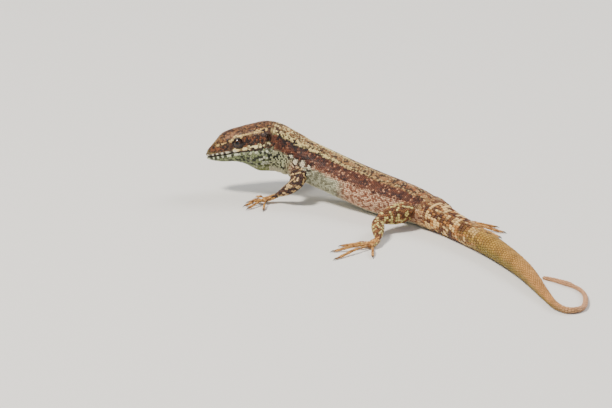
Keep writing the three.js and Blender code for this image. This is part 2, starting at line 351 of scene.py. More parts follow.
kinds = kinds_here(FEET + TIP)
for vert, kind in zip(body.verts, kinds):
    if kind == 2:
        vert.co = grown_surface.find_nearest(vert.co)[0]
for turn in range(max(PASSES.values())):
    smooth([v for v, kind in zip(body.verts, kinds) if PASSES[kind] > turn])
print("smoothed", len(kinds), "points; digits have", int((kinds == 2).sum()))

# %% [markdown]
# The shapes that make a lizard's face are small: lids, nostrils, lips, ear openings and
# folds. The voxel skin is too coarse for them. A smaller voxel would make the whole animal
# heavy, so the mesh is divided finer just there, on both sides of the head at once.

# %% Divide the skin finer round the eyes, lips, nostrils and ears
def distance_to(points, a, b):
    """Distance of each point to the stretch between a and b."""
    a, b = np.array(a, float), np.array(b, float)
    way = b - a
    share = np.clip((points - a) @ way / max(way @ way, 1e-9), 0, 1)
    return np.linalg.norm(points - a - share[:, None] * way, axis=1)


def both_sides(points):
    """Head measures with the right side folded over the left one."""
    place = head_place(points)
    place[:, 1] = np.abs(place[:, 1])
    return place


def refine(where, passes):
    """Divides every edge whose two ends are marked, then evens the new points out."""
    marks = where(places(body))
    body.verts.index_update()
    chosen = [e for e in body.edges if marks[e.verts[0].index] and marks[e.verts[1].index]]
    bmesh.ops.subdivide_edges(body, edges=chosen, cuts=1, use_grid_fill=True)
    marks = where(places(body))
    inside = [v for v, mark in zip(body.verts, marks) if mark]
    for _ in range(passes):
        smooth(inside)


EYE = both_sides(np.array([eye_middle("left")]))[0]
NOSTRIL = (1.05, 1.1, 1.1)
EAR_TOP, EAR_BOTTOM = (14.75, 3.75, 1.9), (14.6, 4.25, 0.9)


def to_eye(points):
    """Distance of each point, given in head measures, to the middle of its eye."""
    return distance_to(points, EYE, EYE)


def fine_places(points):
    """Where the face has small shapes: lips, eyes, nostrils and ears."""
    head = both_sides(points)
    lips = (np.abs(head[:, 2]) < 0.75) & (head[:, 0] < JAW_LENGTH + 1.2)
    lips &= distance_to(head, (0, 0, 0), (9, 0, 0)) > 0.3
    nostril = distance_to(head, NOSTRIL, NOSTRIL) < 0.8
    return lips | (to_eye(head) < 2.7) | nostril | (distance_to(head, EAR_TOP, EAR_BOTTOM) < 1.1)


refine(fine_places, 3)
refine(lambda points: to_eye(both_sides(points)) < 2.1, 2)
print("skin after dividing:", len(body.verts), "points,", len(body.faces), "faces")

# %% [markdown]
# The solids have the animal's full girth, with its scales on. If the scales were simply set
# on top, the model would outgrow them. So the bare skin is first let down by the depth of
# the coat, less on the slender digits, and nothing of it is left below the floor.

# %% Sink the skin by the depth of the coat
def push(amounts):
    """Moves every point of the skin out along its normal by its own amount."""
    body.normal_update()
    for vert, amount in zip(body.verts, amounts):
        if abs(amount) > 1e-4:
            vert.co += vert.normal * amount


kinds = kinds_here(FEET + TIP)
push(np.where(kinds == 2, -DIGIT_COAT, -COAT))
for vert, kind in zip(body.verts, kinds):
    vert.co.z = max(vert.co.z, DIGIT_COAT if kind == 2 else COAT)
print("skin lowered by", COAT, "mm, and on the digits by", DIGIT_COAT)

# %% [markdown]
# A digit ends in a claw of horn, which is a piece of its own. In the solids claw and digit
# are one. A boolean cut would part them with a hard edge, so the skin's points beyond the
# claw's root are drawn back instead, to a blunt end that will hold the root.

# %% Make room for the claws
CLAW = 0.78          # how far a claw stands out of its digit
DRAWN_BACK = 0.92    # share of a digit's end beyond the claw's root that is drawn back


def digit_tips():
    """Name, tip and direction of every digit, taken from its solid."""
    found = []
    for name in filter(palm_of, flesh):
        corners = np.array([v.co for v in nodes[name].data.vertices]) / MM
        away = np.linalg.norm(corners - np.array(centre[palm_of(name)]), axis=1)
        tip = corners[away > away.max() - 0.3].mean(0)
        way = tip - corners[np.linalg.norm(corners - tip, axis=1) < 1.3].mean(0)
        found.append((name, tip, way / np.linalg.norm(way)))
    return found


tips = digit_tips()
points = places(body)
for _, tip, way in tips:
    far = (points - tip) @ way
    near = (np.linalg.norm(points - tip, axis=1) < 1.6) & (kinds == 2) & (far > -CLAW)
    points[near] -= way * (DRAWN_BACK * (far[near] + CLAW))[:, None]
for vert, place in zip(body.verts, points):
    vert.co = place
print("blunt ends for", len(tips), "claws")

# %% [markdown]
# The face of a lizard is hollows and swellings: a brow ridge that shades the eye, a hollow
# round the eye and one in front of it, a sunken temple, a swollen cheek, the groove of the
# mouth, nostrils and ears. They could be sculpted by brush. Here each is a push along the
# skin's normal, written in the head's own measures, so that both sides match and any of
# them can be changed by a number.

# %% Sculpt the face
# Height of each push, the stretch it follows on the head, and its width: the hollow round
# the eye, the one in front of it, the temple and the cheek.
FACE_PUSHES = [
    (-0.26, (7.9, 3.7, 2.0), (8.2, 3.8, 1.9), 1.5), (-0.30, (2.6, 1.9, 1.5), (5.0, 2.9, 1.7), 0.75),
    (-0.14, (10.6, 4.2, 2.4), (13.2, 4.4, 2.2), 0.9), (0.26, (9.6, 4.2, -1.2), (12.6, 4.7, -1.2), 1.5),
]
BROW = ((5.4, 2.7, 2.75), (7.8, 3.2, 3.45), (10.4, 3.4, 3.5))


def bell(distance, width):
    """1 at no distance, falling softly to nothing beyond the width."""
    return np.exp(-(distance / width) ** 2)


def wave(points, size, seed):
    """Soft noise from -1 to 1 at each point, with features about this size."""
    return np.array([noise.noise(Vector(p) / size + Vector((seed, 0, 0))) for p in points])


def mouth_height(along):
    """Height of the mouth line above the head's own axis."""
    return 0.22 * np.sin(np.clip(along / JAW_LENGTH, 0, 1) * math.pi) - 0.25 * smooth_step(9.5, 12, along)


points = places(body)
head = both_sides(points)
along, around, radius = body_place(points)
amount = 0.34 * bell(np.minimum(distance_to(head, *BROW[:2]), distance_to(head, *BROW[1:])), 0.55)
for height, start, end, width in FACE_PUSHES:
    amount += height * bell(distance_to(head, start, end), width)
lip = (head[:, 2] - mouth_height(head[:, 0])) * np.where(head[:, 0] < 12, 1, 9)
fade = smooth_step(11.9, 10.6, head[:, 0])
amount += fade * (0.07 * bell(np.abs(lip) - 0.5, 0.25) - 0.30 * bell(lip, 0.11))
nostril = distance_to(head, NOSTRIL, NOSTRIL)
amount -= 0.5 * bell(nostril, 0.2) - 0.09 * bell(nostril - 0.32, 0.12)
ear = distance_to(head, EAR_TOP, EAR_BOTTOM)
amount -= 0.75 * smooth_step(0.62, 0.2, ear) - 0.08 * bell(ear - 0.8, 0.25)
amount *= smooth_step(17.5, 16, along)
print("face: deepest push %.2f mm, highest %.2f mm" % (amount.min(), amount.max()))

# %% [markdown]
# Behind the head the skin is loose: fine wrinkles on the neck, a collar fold across the
# throat, and a soft fold and dents along the flank. They join the face's pushes, and the
# skin is pushed once.

# %% Sculpt the neck and flanks
neck = smooth_step(15.0, 16.4, along) * smooth_step(21.0, 19.8, along) * smooth_step(0.16, 0.32, around)
amount -= 0.05 * neck * (1 + np.sin(along * 4.6 + 6 * np.abs(around) + 3 * wave(points, 2.5, 3)))
fold = np.abs(along - 20.9 + 1.6 * (np.abs(around) - 0.4))
amount -= 0.34 * bell(fold, 0.3) * smooth_step(0.27, 0.4, np.abs(around)) * smooth_step(0.0, 0.25, 7 - radius)
trunk = smooth_step(24, 28, along) * smooth_step(56, 50, along)
side = smooth_step(0.28, 0.45, np.abs(around)) * smooth_step(0.85, 0.6, np.abs(around))
amount += trunk * side * (0.07 * wave(points, 2.2, 11) - 0.10 * bell(np.abs(around) - 0.62, 0.05))
amount += 0.03 * wave(points, 1.1, 5) * smooth_step(0, 2, radius)
push(amount)
print("sculpted; deepest push %.2f mm, highest %.2f mm" % (amount.min(), amount.max()))

# %% [markdown]
# A lid is a thin shell that slides over the eyeball. Lids of their own would show where
# they join the face. So the skin near each eye is lifted onto a ball a little larger than
# the eye, and then, inside an almond outline, let down below the eye's surface: the lids
# end in a crisp rim and the eye shows.

# %% Lids
OPENING_AT = (-0.02, 0.24)   # the middle of the eye's opening, back and up from the eye's own
SLANT = 0.12         # how much the opening rises from its middle to its rear end
LID_REACH = 2.0      # how far from the eye's middle its lids end
UNDER = 0.4          # how far the skin lies under the eye's surface inside the opening


def almond(head):
    """Below 1 inside the eye's opening and above 1 outside it."""
    length, up, down = OPENING
    x = (head[:, 0] - EYE[0] - OPENING_AT[0]) / length
    y = head[:, 2] - EYE[2] - OPENING_AT[1] - SLANT * x
    height = np.where(y > 0, up, down) * np.sqrt(np.clip(1 - x * x, 0, 1)) ** 1.5
    return np.where(np.abs(x) < 1, np.abs(y) / np.maximum(height, 1e-3), 9.0)


def lidded(points):
    """The points moved onto the lids, or below the eye inside the opening."""
    head = head_place(points)
    way = np.sign(head[:, 1])
    head[:, 1] = np.abs(head[:, 1])
    off = head - EYE
    reach = np.linalg.norm(off, axis=1)
    outside = off[:, 1] > 0.35 * reach
    gap = almond(head)
    rim = 0.07 * bell(gap - 1.25, 0.22)
    shell = np.maximum(reach, EYEBALL + LID + rim)
    shell = np.where(gap < 1, EYEBALL - UNDER, shell)
    wanted = EYE + off / reach[:, None] * shell[:, None]
    near = (outside & (reach < LID_REACH))[:, None]
    head = np.where(near, wanted, head)
    head[:, 1] *= way
    return np.array(SNOUT) + head @ HEAD_AXES


for vert, place in zip(body.verts, lidded(places(body))):
    vert.co = place
body.normal_update()
print("lids closed round eyes of %.2f mm" % (2 * EYEBALL))


def rounded(name, mesh):
    """An object whose faces are shaded smooth."""
    mesh.polygons.foreach_set("use_smooth", [True] * len(mesh.polygons))
    return put(name, mesh)


body.to_mesh(remeshed)
skin = rounded("skin", remeshed)
print("skin:", len(remeshed.polygons), "faces")

# %% [markdown]
# A wall lizard wears four kinds of scales: large shields on the head, small granules on
# the back and sides, broad plates under the belly, and long scales in rings round the
# tail. They share one rule: each scale fills the ground nearer to its own middle than to
# any other's. A bump map could only hint at them, and ten thousand can't be modelled one by
# one. So the lesson first sets their middles, region by region, and then cuts every scale
# out of the ground round its middle by planes halfway to its neighbours.

# %% Kinds of scales
HOLE = "hole"        # a place that is kept free of scales
# Seam between two of them, height, rise of the middle, how much the rear edge lifts per
# millimetre, and the share of its ground that a scale has at its rim and at its crown.
KINDS = {
    "shield": (0.05, 0.10, 0.02, 0.0, 0.93, 0.7), "granule": (0.03, 0.10, 0.04, 0.05, 0.86, 0.5),
    "lid": (0.02, 0.05, 0.02, 0.0, 0.88, 0.55), "plate": (0.04, 0.07, 0.01, 0.04, 0.92, 0.7),
    "ring": (0.03, 0.09, 0.05, 0.09, 0.88, 0.45), "leg": (0.03, 0.09, 0.04, 0.10, 0.86, 0.5),
    "digit": (0.02, 0.05, 0.02, 0.06, 0.93, 0.6), HOLE: (0, 0, 0, 0, 1, 1),
}
scales = []          # of each: root, normal, direction of growth, size, kind, solid below it
skin_tree = BVHTree.FromBMesh(body)
body.faces.ensure_lookup_table()
face_owner = owners([f.calc_center_median() for f in body.faces])


def add_scale(point, growth, size, kind, reach=1.5, only=None):
    """Sets one scale's middle on the skin nearest to the point; says whether it could."""
    root, normal, face, distance = skin_tree.find_nearest(point)
    if root is None or distance > reach or (only is not None and not face_owner[face].startswith(only)):
        return False
    growth = (growth - normal * growth.dot(normal)).normalized()
    scales.append((root, normal, growth, size, kind, face_owner[face]))
    return True


print("kinds of scales:", ", ".join(KINDS))

# %% [markdown]
# The shields of the head are the same in number and place on every wall lizard, so their
# middles are written down one by one. They are set on the left side and the right together
# by looking at the head from above, from the side or from below. The line of the mouth,
# the ears and the nostrils get middles too, of holes, which take ground and stay bare.

# %% Shields of the head
def cast_on_head(view, along, across, size, kind="shield"):
    """Middle of a shield, set by looking at the head from above, from the side or from below."""
    for side in (1, -1):
        if view == "side":
            start, way = on_head(along, 9 * side, across), HEAD_LEFT * -side
        else:
            height = 9 if view == "top" else -9
            start, way = on_head(along, across * side, height), HEAD_UP * (-1 if height > 0 else 1)
        hit = skin_tree.ray_cast(start, way)[0]
        if hit is not None:
            add_scale(hit, -FORWARD, size, kind)
        if view != "side" and across == 0:
            return


# Distance back from the snout, distance to the side or height above the mouth, and size.
TOP_SHIELDS = [
    (1.1, 0.5, 0.45), (2.15, 0, 0.8), (3.35, 0.75, 0.75), (5.55, 0, 0.8), (4.5, 1.75, 0.5),
    (5.75, 2.0, 0.85), (7.35, 2.05, 0.85), (8.75, 2.2, 0.5), (8.45, 0.62, 0.72), (9.85, 0, 0.4),
    (10.75, 1.6, 1.5), (11.95, 0, 0.42),
]
SIDE_SHIELDS = [
    (2.1, 1.3, 0.45), (3.3, 1.35, 0.5), (4.6, 1.45, 0.5), (3.6, 2.3, 0.4),
    (4.7, 2.6, 0.35), (11.3, 0.9, 0.7), (13.6, 2.5, 0.5),
]
CHIN_SHIELDS = [(1.7, 0.5, 0.5), (2.9, 0.75, 0.7), (4.4, 1.1, 0.85), (6.1, 1.6, 0.95), (7.9, 2.2, 0.95)]
# Along each lip: distance back from the snout, and size.
UPPER_LIP = [(0.85, 0.34), (1.75, 0.4), (2.75, 0.43), (3.85, 0.46),
             (5.05, 0.46), (7.1, 0.62), (9.0, 0.5), (10.3, 0.4)]
LOWER_LIP = [(0.75, 0.34), (1.7, 0.4), (2.8, 0.43), (4.0, 0.46),
             (5.3, 0.46), (6.7, 0.5), (8.2, 0.5), (9.7, 0.45)]
for view, shields_there in (("top", TOP_SHIELDS), ("side", SIDE_SHIELDS), ("chin", CHIN_SHIELDS)):
    for shield in shields_there:
        cast_on_head(view, *shield)
for step in range(8):
    cast_on_head("top", 5.0 + step * 0.58, 2.95 + 0.06 * step, 0.22)
    cast_on_head("top", 9.6 + step * 0.62, 3.35, 0.25, "granule")
add_scale(on_head(0, 0, 0.5), HEAD_UP, 0.35, "shield")
add_scale(on_head(0, 0, -0.4), -HEAD_UP, 0.3, "shield")
for lip_row, above in ((UPPER_LIP, 0.5), (LOWER_LIP, -0.5)):
    for along, size in lip_row:
        cast_on_head("side", along, mouth_height(along) + above, size)
for step in range(40):
    cast_on_head("side", 0.1 + step * 0.29, mouth_height(0.1 + step * 0.29), 0.0, HOLE)
for step in range(5):
    ear_spot = np.array(EAR_TOP) + (np.array(EAR_BOTTOM) - EAR_TOP) * step / 4
    cast_on_head("side", ear_spot[0], ear_spot[2], 0.3, HOLE)
cast_on_head("side", NOSTRIL[0], NOSTRIL[2], 0.24, HOLE)
print("head shields and openings:", len(scales))

# %% [markdown]
# On the back the granules stand in rows across the body, and on the tail, legs and digits
# the scales stand in rings. Copies set along a curve would float over hollows and sink into
# swellings. A ring is laid by looking outwards from the middle of the body, and its points
# are spaced evenly round what is seen, so it lies on the skin wherever that runs.

# %% A ring of scales
RAYS = 40            # looks that one ring takes


def ring(middle, side, up, width, kind, growth, only, span=(0, 1), turn=0.0, limit=9.0):
    """One ring of middles round a point, between two shares of the way from back to belly."""
    seen = []
    for step in range(RAYS + 1):
        angle = 2 * math.pi * step / RAYS
        way = side * math.sin(angle) + up * math.cos(angle)
        hit = skin_tree.ray_cast(middle, way, limit)
        good = hit[0] is not None and face_owner[hit[2]].startswith(only)
        seen.append((hit[0] if good else None, angle))
    length = 0.0
    trail = [(0.0, seen[0])]
    for (a, angle), (b, after) in zip(seen, seen[1:]):
        length += (b - a).length if a is not None and b is not None else limit * 0.1
        trail.append((length, (b, after)))
    count = max(5, round(length / width))
    fars = [far for far, _ in trail]
    for k in range(count):
        far = (k + turn) % count * length / count
        i = int(np.searchsorted(fars, far, side="right")) - 1
        a, b = trail[i][1][0], trail[min(i + 1, RAYS)][1][0]
        share = (far - fars[i]) / max(fars[min(i + 1, RAYS)] - fars[i], 1e-6)
        angle = trail[i][1][1] + share * 2 * math.pi / RAYS
        around = 1 - abs(1 - angle / math.pi)
        if a is not None and b is not None and span[0] <= around <= span[1]:
            add_scale(a.lerp(b, share), growth, width / 2, kind, 0.6, only)


def spine_at(far):
    """Centre, side, up and direction of the backbone this far from the snout."""
    return [Vector([np.interp(far, SPINE_FAR, row[:, k]) for k in range(3)])
            for row in (SPINE, SPINE_SIDE, SPINE_UP, SPINE_WAY)]


print("middle of the trunk's section at 35 mm:", [round(v, 1) for v in spine_at(35)[0]])

# %% [markdown]
# Now the rings are laid one behind another: small granules from the nape to the vent, large
# plates under the belly, and from the vent on the long keeled scales of the tail. Every
# second ring of small scales is turned by half a scale, as bricks are, so that no seams
# line up, while the plates stand in straight columns.

# %% Rings along the body and tail
def rings_along(start, end, kind, sizes, in_step=False, limit=9.0):
    """Rings along the backbone; sizes gives their pitch, width and span at a distance."""
    row, far = 0, start
    while far < end:
        middle, side, up, way = spine_at(far)
        pitch, width, span = sizes(far)
        turn = 0.5 if in_step else 0.5 * (row % 2)
        ring(middle, side, up, width, kind, way, TORSO, span, turn, limit)
        far += pitch
        row += 1


def granules(far):
    """Granules go right round the neck, behind the head only over it, and not on the belly."""
    width = 0.38 if far < 22 else 0.44
    return width * 0.9, width, (0, 0.24 if far < 15.6 else 1.0 if far < 22 else 0.72)


def tail_rings(far):
    """Rings of the tail: long on its first part, then ever finer towards the tip."""
    pitch = np.interp(far, [VENT + 1, 62, 72, 84, 100, 145], [0.80, 1.05, 1.05, 0.84, 0.66, 0.42])
    width = np.interp(far, [VENT + 1, 62, 80, 110, 145], [0.46, 0.52, 0.54, 0.44, 0.32])
    return pitch, width, (0, 1)


rings_along(12.9, VENT + 1, "granule", granules)
rings_along(22.6, VENT + 1, "plate", lambda far: (1.45, 1.75, (0.74, 1)), in_step=True)
rings_along(VENT + 1.2, SPINE_FAR[-1] - 0.2, "ring", tail_rings, limit=5.0)
print("with the body and tail:", len(scales))

# %% [markdown]
# The scales of arms, legs and digits stand in rings too, but each of these pieces has a
# middle of its own. It is found from the piece's skin: cut across into short lengths, each
# of which gives one point. Hands and feet have no clear middle and are left for later.

# %% Rings on the limbs and digits
# What each limb piece grows from, and the width and kind of its scales.
ROOT_OF = {"upper_arm": "", "forearm": "upper_arm", "finger": "hand",
           "thigh": "", "shank": "thigh", "toe": "foot"}
LIMB_SCALES = {"upper_arm": (0.50, "leg"), "forearm": (0.46, "leg"), "thigh": (0.56, "leg"),
               "shank": (0.50, "leg"), "finger": (0.46, "digit"), "toe": (0.50, "digit")}
LENGTHS = 0.8        # a limb piece is cut into lengths of about this


def middle_line(name):
    """Points along the middle of a limb piece, from its root to its end."""
    own = np.array([f.calc_center_median() for f, o in zip(body.faces, face_owner) if o == name])
    middle = own.mean(0)
    way = np.linalg.svd(own - middle, full_matrices=False)[2][0]
    side, part = name.split("_", 1)
    before = ROOT_OF[part.rstrip("_12345")]
    start = centre[side + "_" + before] if before else Vector(SPINE[spine_tree.find(Vector(middle))[1]])
    if (middle - np.array(start)) @ way < 0:
        way = -way
    far = (own - middle) @ way
    cuts = np.linspace(far.min(), far.max(), max(3, int((far.max() - far.min()) / LENGTHS) + 1))
    line = [own[(far >= a) & (far <= b)].mean(0) for a, b in zip(cuts, cuts[1:])]
    return np.array([line[0] * 1.4 - line[1] * 0.4] + line[1:-1] + [line[-1] * 1.4 - line[-2] * 0.4])


for name in flesh:
    part = name.split("_", 1)[-1].rstrip("_12345")
    if part not in LIMB_SCALES:
        continue
    width, kind = LIMB_SCALES[part]
    line = middle_line(name)
    fars = np.concatenate([[0], np.cumsum(np.linalg.norm(np.diff(line, axis=0), axis=1))])
    for row, far in enumerate(np.arange(0, fars[-1], width * (0.88 if kind == "leg" else 0.8))):
        before, middle, ahead = [Vector([np.interp(far + step, fars, line[:, k]) for k in range(3)])
                                 for step in (-0.4, 0, 0.4)]
        if (ahead - middle).length < 0.1:
            ahead = middle * 2 - before
        way = (ahead - middle).normalized()
        side = way.cross(Vector((0, 0, 1))).normalized()
        ring(middle, side, side.cross(way), width, kind, way, (name,), (0, 1), 0.5 * (row % 2), 4.0)
print("with the limbs:", len(scales))

# %% [markdown]
# The places between the rings, such as cheeks, lids, palms, soles and armpits, have scales
# in no strict order. A grid would show there. Points are thrown at random instead, more of
# them where scales are small, and kept only where no other scale is near, which spaces them
# like pebbles. First come their sizes, and the places that are taken already.

# %% Where pebbles may lie
def wanted_size(points):
    """Width of a pebble scale by place."""
    head = both_sides(points)
    size = np.full(len(points), 0.40)
    size = np.where((head[:, 0] < 13.5) & (head[:, 2] < -0.5), 0.46, size)
    return np.where(to_eye(head) < 2.0, 0.26, size)


def shielded(points):
    """Where shields, lips and tail rings leave no room for pebbles."""
    head = both_sides(points)
    back, side, above = head.T
    edge = np.interp(back, [0, 3, 5, 7, 9, 12.3], [0.9, 1.6, 2.4, 2.75, 2.95, 3.05])
    roof = (back < 12.5) & (side < edge) & (above > 1.6)
    lips = (np.abs(above - mouth_height(back)) < 0.95) & (back < 10.6) & (back > -1)
    snout = (back < 6.3) & (above > -1.2) & (to_eye(head) > 1.9)
    chin = (back < 7.0) & (side < 2.4) & (above < 0)
    return roof | lips | snout | chin | (body_place(points)[0] > VENT + 0.8)


print("a pebble of the throat is %.2f mm wide" % wanted_size(np.array([on_head(10, 0, -3)]))[0])

# %% [markdown]
# Each throw picks a face, a large one more often than a small one, and a random place on
# it. The seed is fixed, so the animal has the same scales at every run. Pebbles that fall
# inside the eye's opening are kept as holes, so that no scale reaches over the eye.

# %% Throw the pebbles
THROWS = 48000       # far more than there is room for
OWN, OTHER = 0.42, 0.78     # shares of two scales' sizes that their middles keep apart

rng = np.random.default_rng(7)
faces = body.faces[:]
areas = np.array([f.calc_area() for f in faces])
areas /= wanted_size(np.array([f.calc_center_median() for f in faces])) ** 2
picked = rng.choice(len(faces), THROWS, p=areas / areas.sum())
thrown = []
for i in picked:
    corner = [v.co for v in faces[i].verts]
    weights = rng.dirichlet(np.ones(len(corner)))
    thrown.append(sum((c * w for c, w in zip(corner, weights)), Vector()))
places_thrown = np.array(thrown)
sizes = wanted_size(places_thrown)
bare = shielded(places_thrown) & np.array([kind == 0 for kind in map(kind_of, owners(thrown))])
thrown_head = both_sides(places_thrown)
inside_eye = (almond(thrown_head) < 1.15) & (to_eye(thrown_head) < 2.2)
print("thrown:", len(thrown), "of which", int(bare.sum()), "fell on shields or rings")

# %% [markdown]
# To ask every pebble about every other would take minutes. So space is divided in cubes of
# a millimetre, and a pebble asks only its own cube and the ones round it.

# %% Keep the pebbles that have room
ordered = len(scales)
cells = {}           # the scales in each cube of a millimetre


def box_of(point):
    """The cube of a millimetre that a point lies in."""
    return tuple(math.floor(x) for x in point)


def crowded(point, size):
    """Whether another scale's middle is too near."""
    cx, cy, cz = box_of(point)
    around_it = [cells.get((cx + dx, cy + dy, cz + dz), ())
                 for dx in (-1, 0, 1) for dy in (-1, 0, 1) for dz in (-1, 0, 1)]
    return any((scales[i][0] - point).length < OWN * size + OTHER * max(scales[i][3], 0.16)
               for cell in around_it for i in cell)


for index, scale in enumerate(scales):
    cells.setdefault(box_of(scale[0]), []).append(index)
for point, size, hidden, taken in zip(thrown, sizes, inside_eye, bare):
    if (taken and not hidden) or crowded(point, size):
        continue
    kind = HOLE if hidden else "lid" if size < 0.3 else "granule"
    growth = spine_at(body_place(np.array([point]))[0][0])[3]
    if add_scale(point, growth, 0.0 if hidden else size / 2, kind):
        cells.setdefault(box_of(scales[-1][0]), []).append(len(scales) - 1)
print("all middles:", len(scales))

# %% [markdown]
# Scales that were thrown at random, and rings that meet at a joint, stand unevenly. Real
# scales press on each other while they grow, and end up evenly spaced. A few rounds of
# pushing near neighbours apart, along the skin, do the same here.

# %% Let the scales settle
SPACING = 1.02       # how far apart two middles want to be, in shares of their sizes
YIELD = 0.3          # share of what is missing that a scale moves in one round


def settle(movable, rounds):
    """Moves loose middles away from near neighbours, along the skin."""
    for _ in range(rounds):
        spots = KDTree(len(scales))
        for i, scale in enumerate(scales):
            spots.insert(scale[0], i)
        spots.balance()
        for i in movable:
            root, normal, growth, size, kind, part = scales[i]
            shift = Vector()
            for other, j, far in spots.find_range(root, 1.1 + size):
                want = SPACING * (size + max(scales[j][3], 0.10))
                if j != i and 1e-6 < far < want:
                    shift += (root - other) / far * (want - far) * YIELD
            root, normal, face, _ = skin_tree.find_nearest(root + shift)
            growth = (growth - normal * growth.dot(normal)).normalized()
            scales[i] = (root, normal, growth, size, kind, part)


loose = [i for i, scale in enumerate(scales) if i >= ordered or scale[4] == "leg"]
loose = [i for i in loose if scales[i][4] != HOLE]
settle(loose, 6)
print("settled", len(loose), "scales")

# %% [markdown]
# Each scale starts as a small patch of ground, a disc for a granule or a grid for a large
# shield. Planes halfway to the neighbours cut it to shape, a larger scale taking more than
# half of the way. Cutting one sheet into cells would do the same, but flat ground under each
# scale is simpler to cut and to lift than a sheet that bends round a leg.

# %% A scale's own ground
ROOM = {"shield": 2.2, "granule": 2.3, "lid": 2.4, "plate": 1.5, "ring": 2.2, "leg": 1.9, "digit": 2.0}
BROAD = 0.42         # scales larger than this are looked for farther away,
BROAD_REACH = 3.4    # at up to this distance
GRID_FROM = 0.85     # patches with more room than this are grids, not discs
GRID_MESH = 0.36     # mesh size of such a grid


def tree_of(chosen):
    """A search tree of the roots of the chosen scales."""
    tree = KDTree(len(chosen))
    for i in chosen:
        tree.insert(scales[i][0], i)
    tree.balance()
    return tree


def borders(index, room):
    """The planes that bound a scale, nearest first: distance from its middle, and direction."""
    root, _, _, size, kind, _ = scales[index]
    found = {i for _, i, _ in roots.find_range(root, 2 * room)}
    found |= {i for _, i, _ in broad_roots.find_range(root, BROAD_REACH)}
    found.discard(index)
    planes = []
    for i in found:
        way = scales[i][0] - root
        far = way.length
        if far > 1e-3:
            share = (far * far + size * size - scales[i][3] ** 2) / (2 * far * far)
            planes.append((share * far - KINDS[kind][0] / 2, way / far))
    return sorted(planes, key=lambda plane: plane[0])


def ground(index):
    """A scale's own patch of ground, cut to shape and laid just under the skin."""
    root, normal, growth, size, kind, _ = scales[index]
    room = max(ROOM[kind] * size, 0.3)
    large = room > GRID_FROM
    matrix = Matrix((growth, normal.cross(growth), normal)).transposed().to_4x4()
    matrix.translation = root
    patch = bmesh.new()
    if large:
        pieces = 2 * math.ceil(room / GRID_MESH)
        bmesh.ops.create_grid(patch, x_segments=pieces, y_segments=pieces, size=room, matrix=matrix)
    else:
        bmesh.ops.create_circle(patch, cap_ends=True, radius=room, segments=8, matrix=matrix)
    for far, way in borders(index, room):
        if not patch.verts or far > max((v.co - root).length for v in patch.verts):
            break
        bmesh.ops.bisect_plane(patch, geom=patch.verts[:] + patch.edges[:] + patch.faces[:],
                               plane_co=root + way * far, plane_no=way, clear_outer=True)
        if not patch.faces:
            break
    return patch, large


print("a granule may take %.2f mm of ground each way" % (ROOM["granule"] * 0.2))

# %% [markdown]
# The corners of a flat patch are off the skin wherever that curves, so each is laid on the
# nearest place of the skin, and a corner that hangs over a gap, as between two digits, is
# drawn in first, or the scale would bridge the gap like a web.

# %% Lay a patch on the skin
LAID = 0.03          # how deep a patch lies under the surface of the skin
OVER_GAP = 0.16      # a small scale's corner this far from the skin hangs over a gap
NECK_END = 26        # where the neck's coat piece ends, from the snout


def lay(patch, root=None):
    """Lays a patch on the skin, a little below the surface, and draws in corners over gaps."""
    for vert in patch.verts:
        spot_on_skin, normal, _, far = skin_tree.find_nearest(vert.co)
        if root is not None and far > OVER_GAP:
            spot_on_skin, normal, _, _ = skin_tree.find_nearest(root.lerp(vert.co, 0.5))
        vert.co = spot_on_skin - normal * LAID


def piece_of(index):
    """The coat piece that a scale is joined to."""
    part = scales[index][5]
    if part in ("head", "lower_jaw"):
        return "coat_head"
    if part.startswith(("tail", "hips")):
        return "coat_tail"
    if part in ("neck", "trunk"):
        along = body_place(np.array([scales[index][0]]))[0][0]
        return "coat_neck" if along < NECK_END else "coat_trunk"
    return "coat_legs"


print("coat pieces to fill:", sorted({piece_of(i) for i in range(len(scales))}))

# %% [markdown]
# Some patches come out too thin to be scales: slivers that real skin doesn't have. They are
# left out, and all is cut once more, so that their neighbours get their ground.

# %% Cut every scale out of its ground
THINNEST = 0.075     # a patch is a sliver if its middle lies nearer than this to a side
WHOLE = 0.8          # a large scale with less ground than this share of its size squared is one too


def cut_out(chosen):
    """Cuts the chosen scales: small ones by piece and kind, shields, and those too thin to keep."""
    small, large_ones, slivers = {}, [], set()
    for index in chosen:
        root, _, _, size, kind, _ = scales[index]
        if kind == HOLE:
            continue
        patch, large = ground(index)
        lay(patch, None if large else root)
        if large and sum(f.calc_area() for f in patch.faces) > WHOLE * size ** 2:
            large_ones.append((index, patch))
            continue
        corners = [] if large or not patch.faces else [v.co.copy() for v in patch.faces[:][0].verts]
        patch.free()
        middle = sum(corners, Vector()) / max(len(corners), 1)
        sides = [distance_to(np.array([middle]), a, b)[0] for a, b in zip(corners, corners[1:] + corners[:1])]
        if min(sides, default=0) < THINNEST:
            slivers.add(index)
        else:
            small.setdefault((piece_of(index), kind), []).append((index, corners))
    return small, large_ones, slivers


kept = range(len(scales))
for attempt in range(2):
    roots, broad_roots = tree_of(kept), tree_of([i for i in kept if scales[i][3] > BROAD])
    polygons, shields, slivers = cut_out(kept)
    kept = [i for i in kept if i not in slivers]
    print("cut", len(kept), "scales; left out", len(slivers))
print("cut", sum(len(p) for p in polygons.values()), "small scales and", len(shields), "shields")

# %% [markdown]
# A lizard's scale is a low cushion with sloping sides. A bevel would need to know how wide
# each side is. So a patch becomes a scale by two insets: the first lifts its face, the
# second lifts the middle a little more. Its underside is kept, which makes each scale a
# closed solid, and every corner notes its level. Later the upper levels draw in towards the
# scale's root, which makes the slopes, and can't fold a narrow corner over.

# %% Raise a patch
SHIELD_SLOPE = 0.07  # width of the slope round a large shield


def underside(work):
    """Doubles the faces and turns the copies over; returns them."""
    made = bmesh.ops.duplicate(work, geom=work.faces[:])["geom"]
    under = [g for g in made if isinstance(g, bmesh.types.BMFace)]
    bmesh.ops.reverse_faces(work, faces=under)
    return under


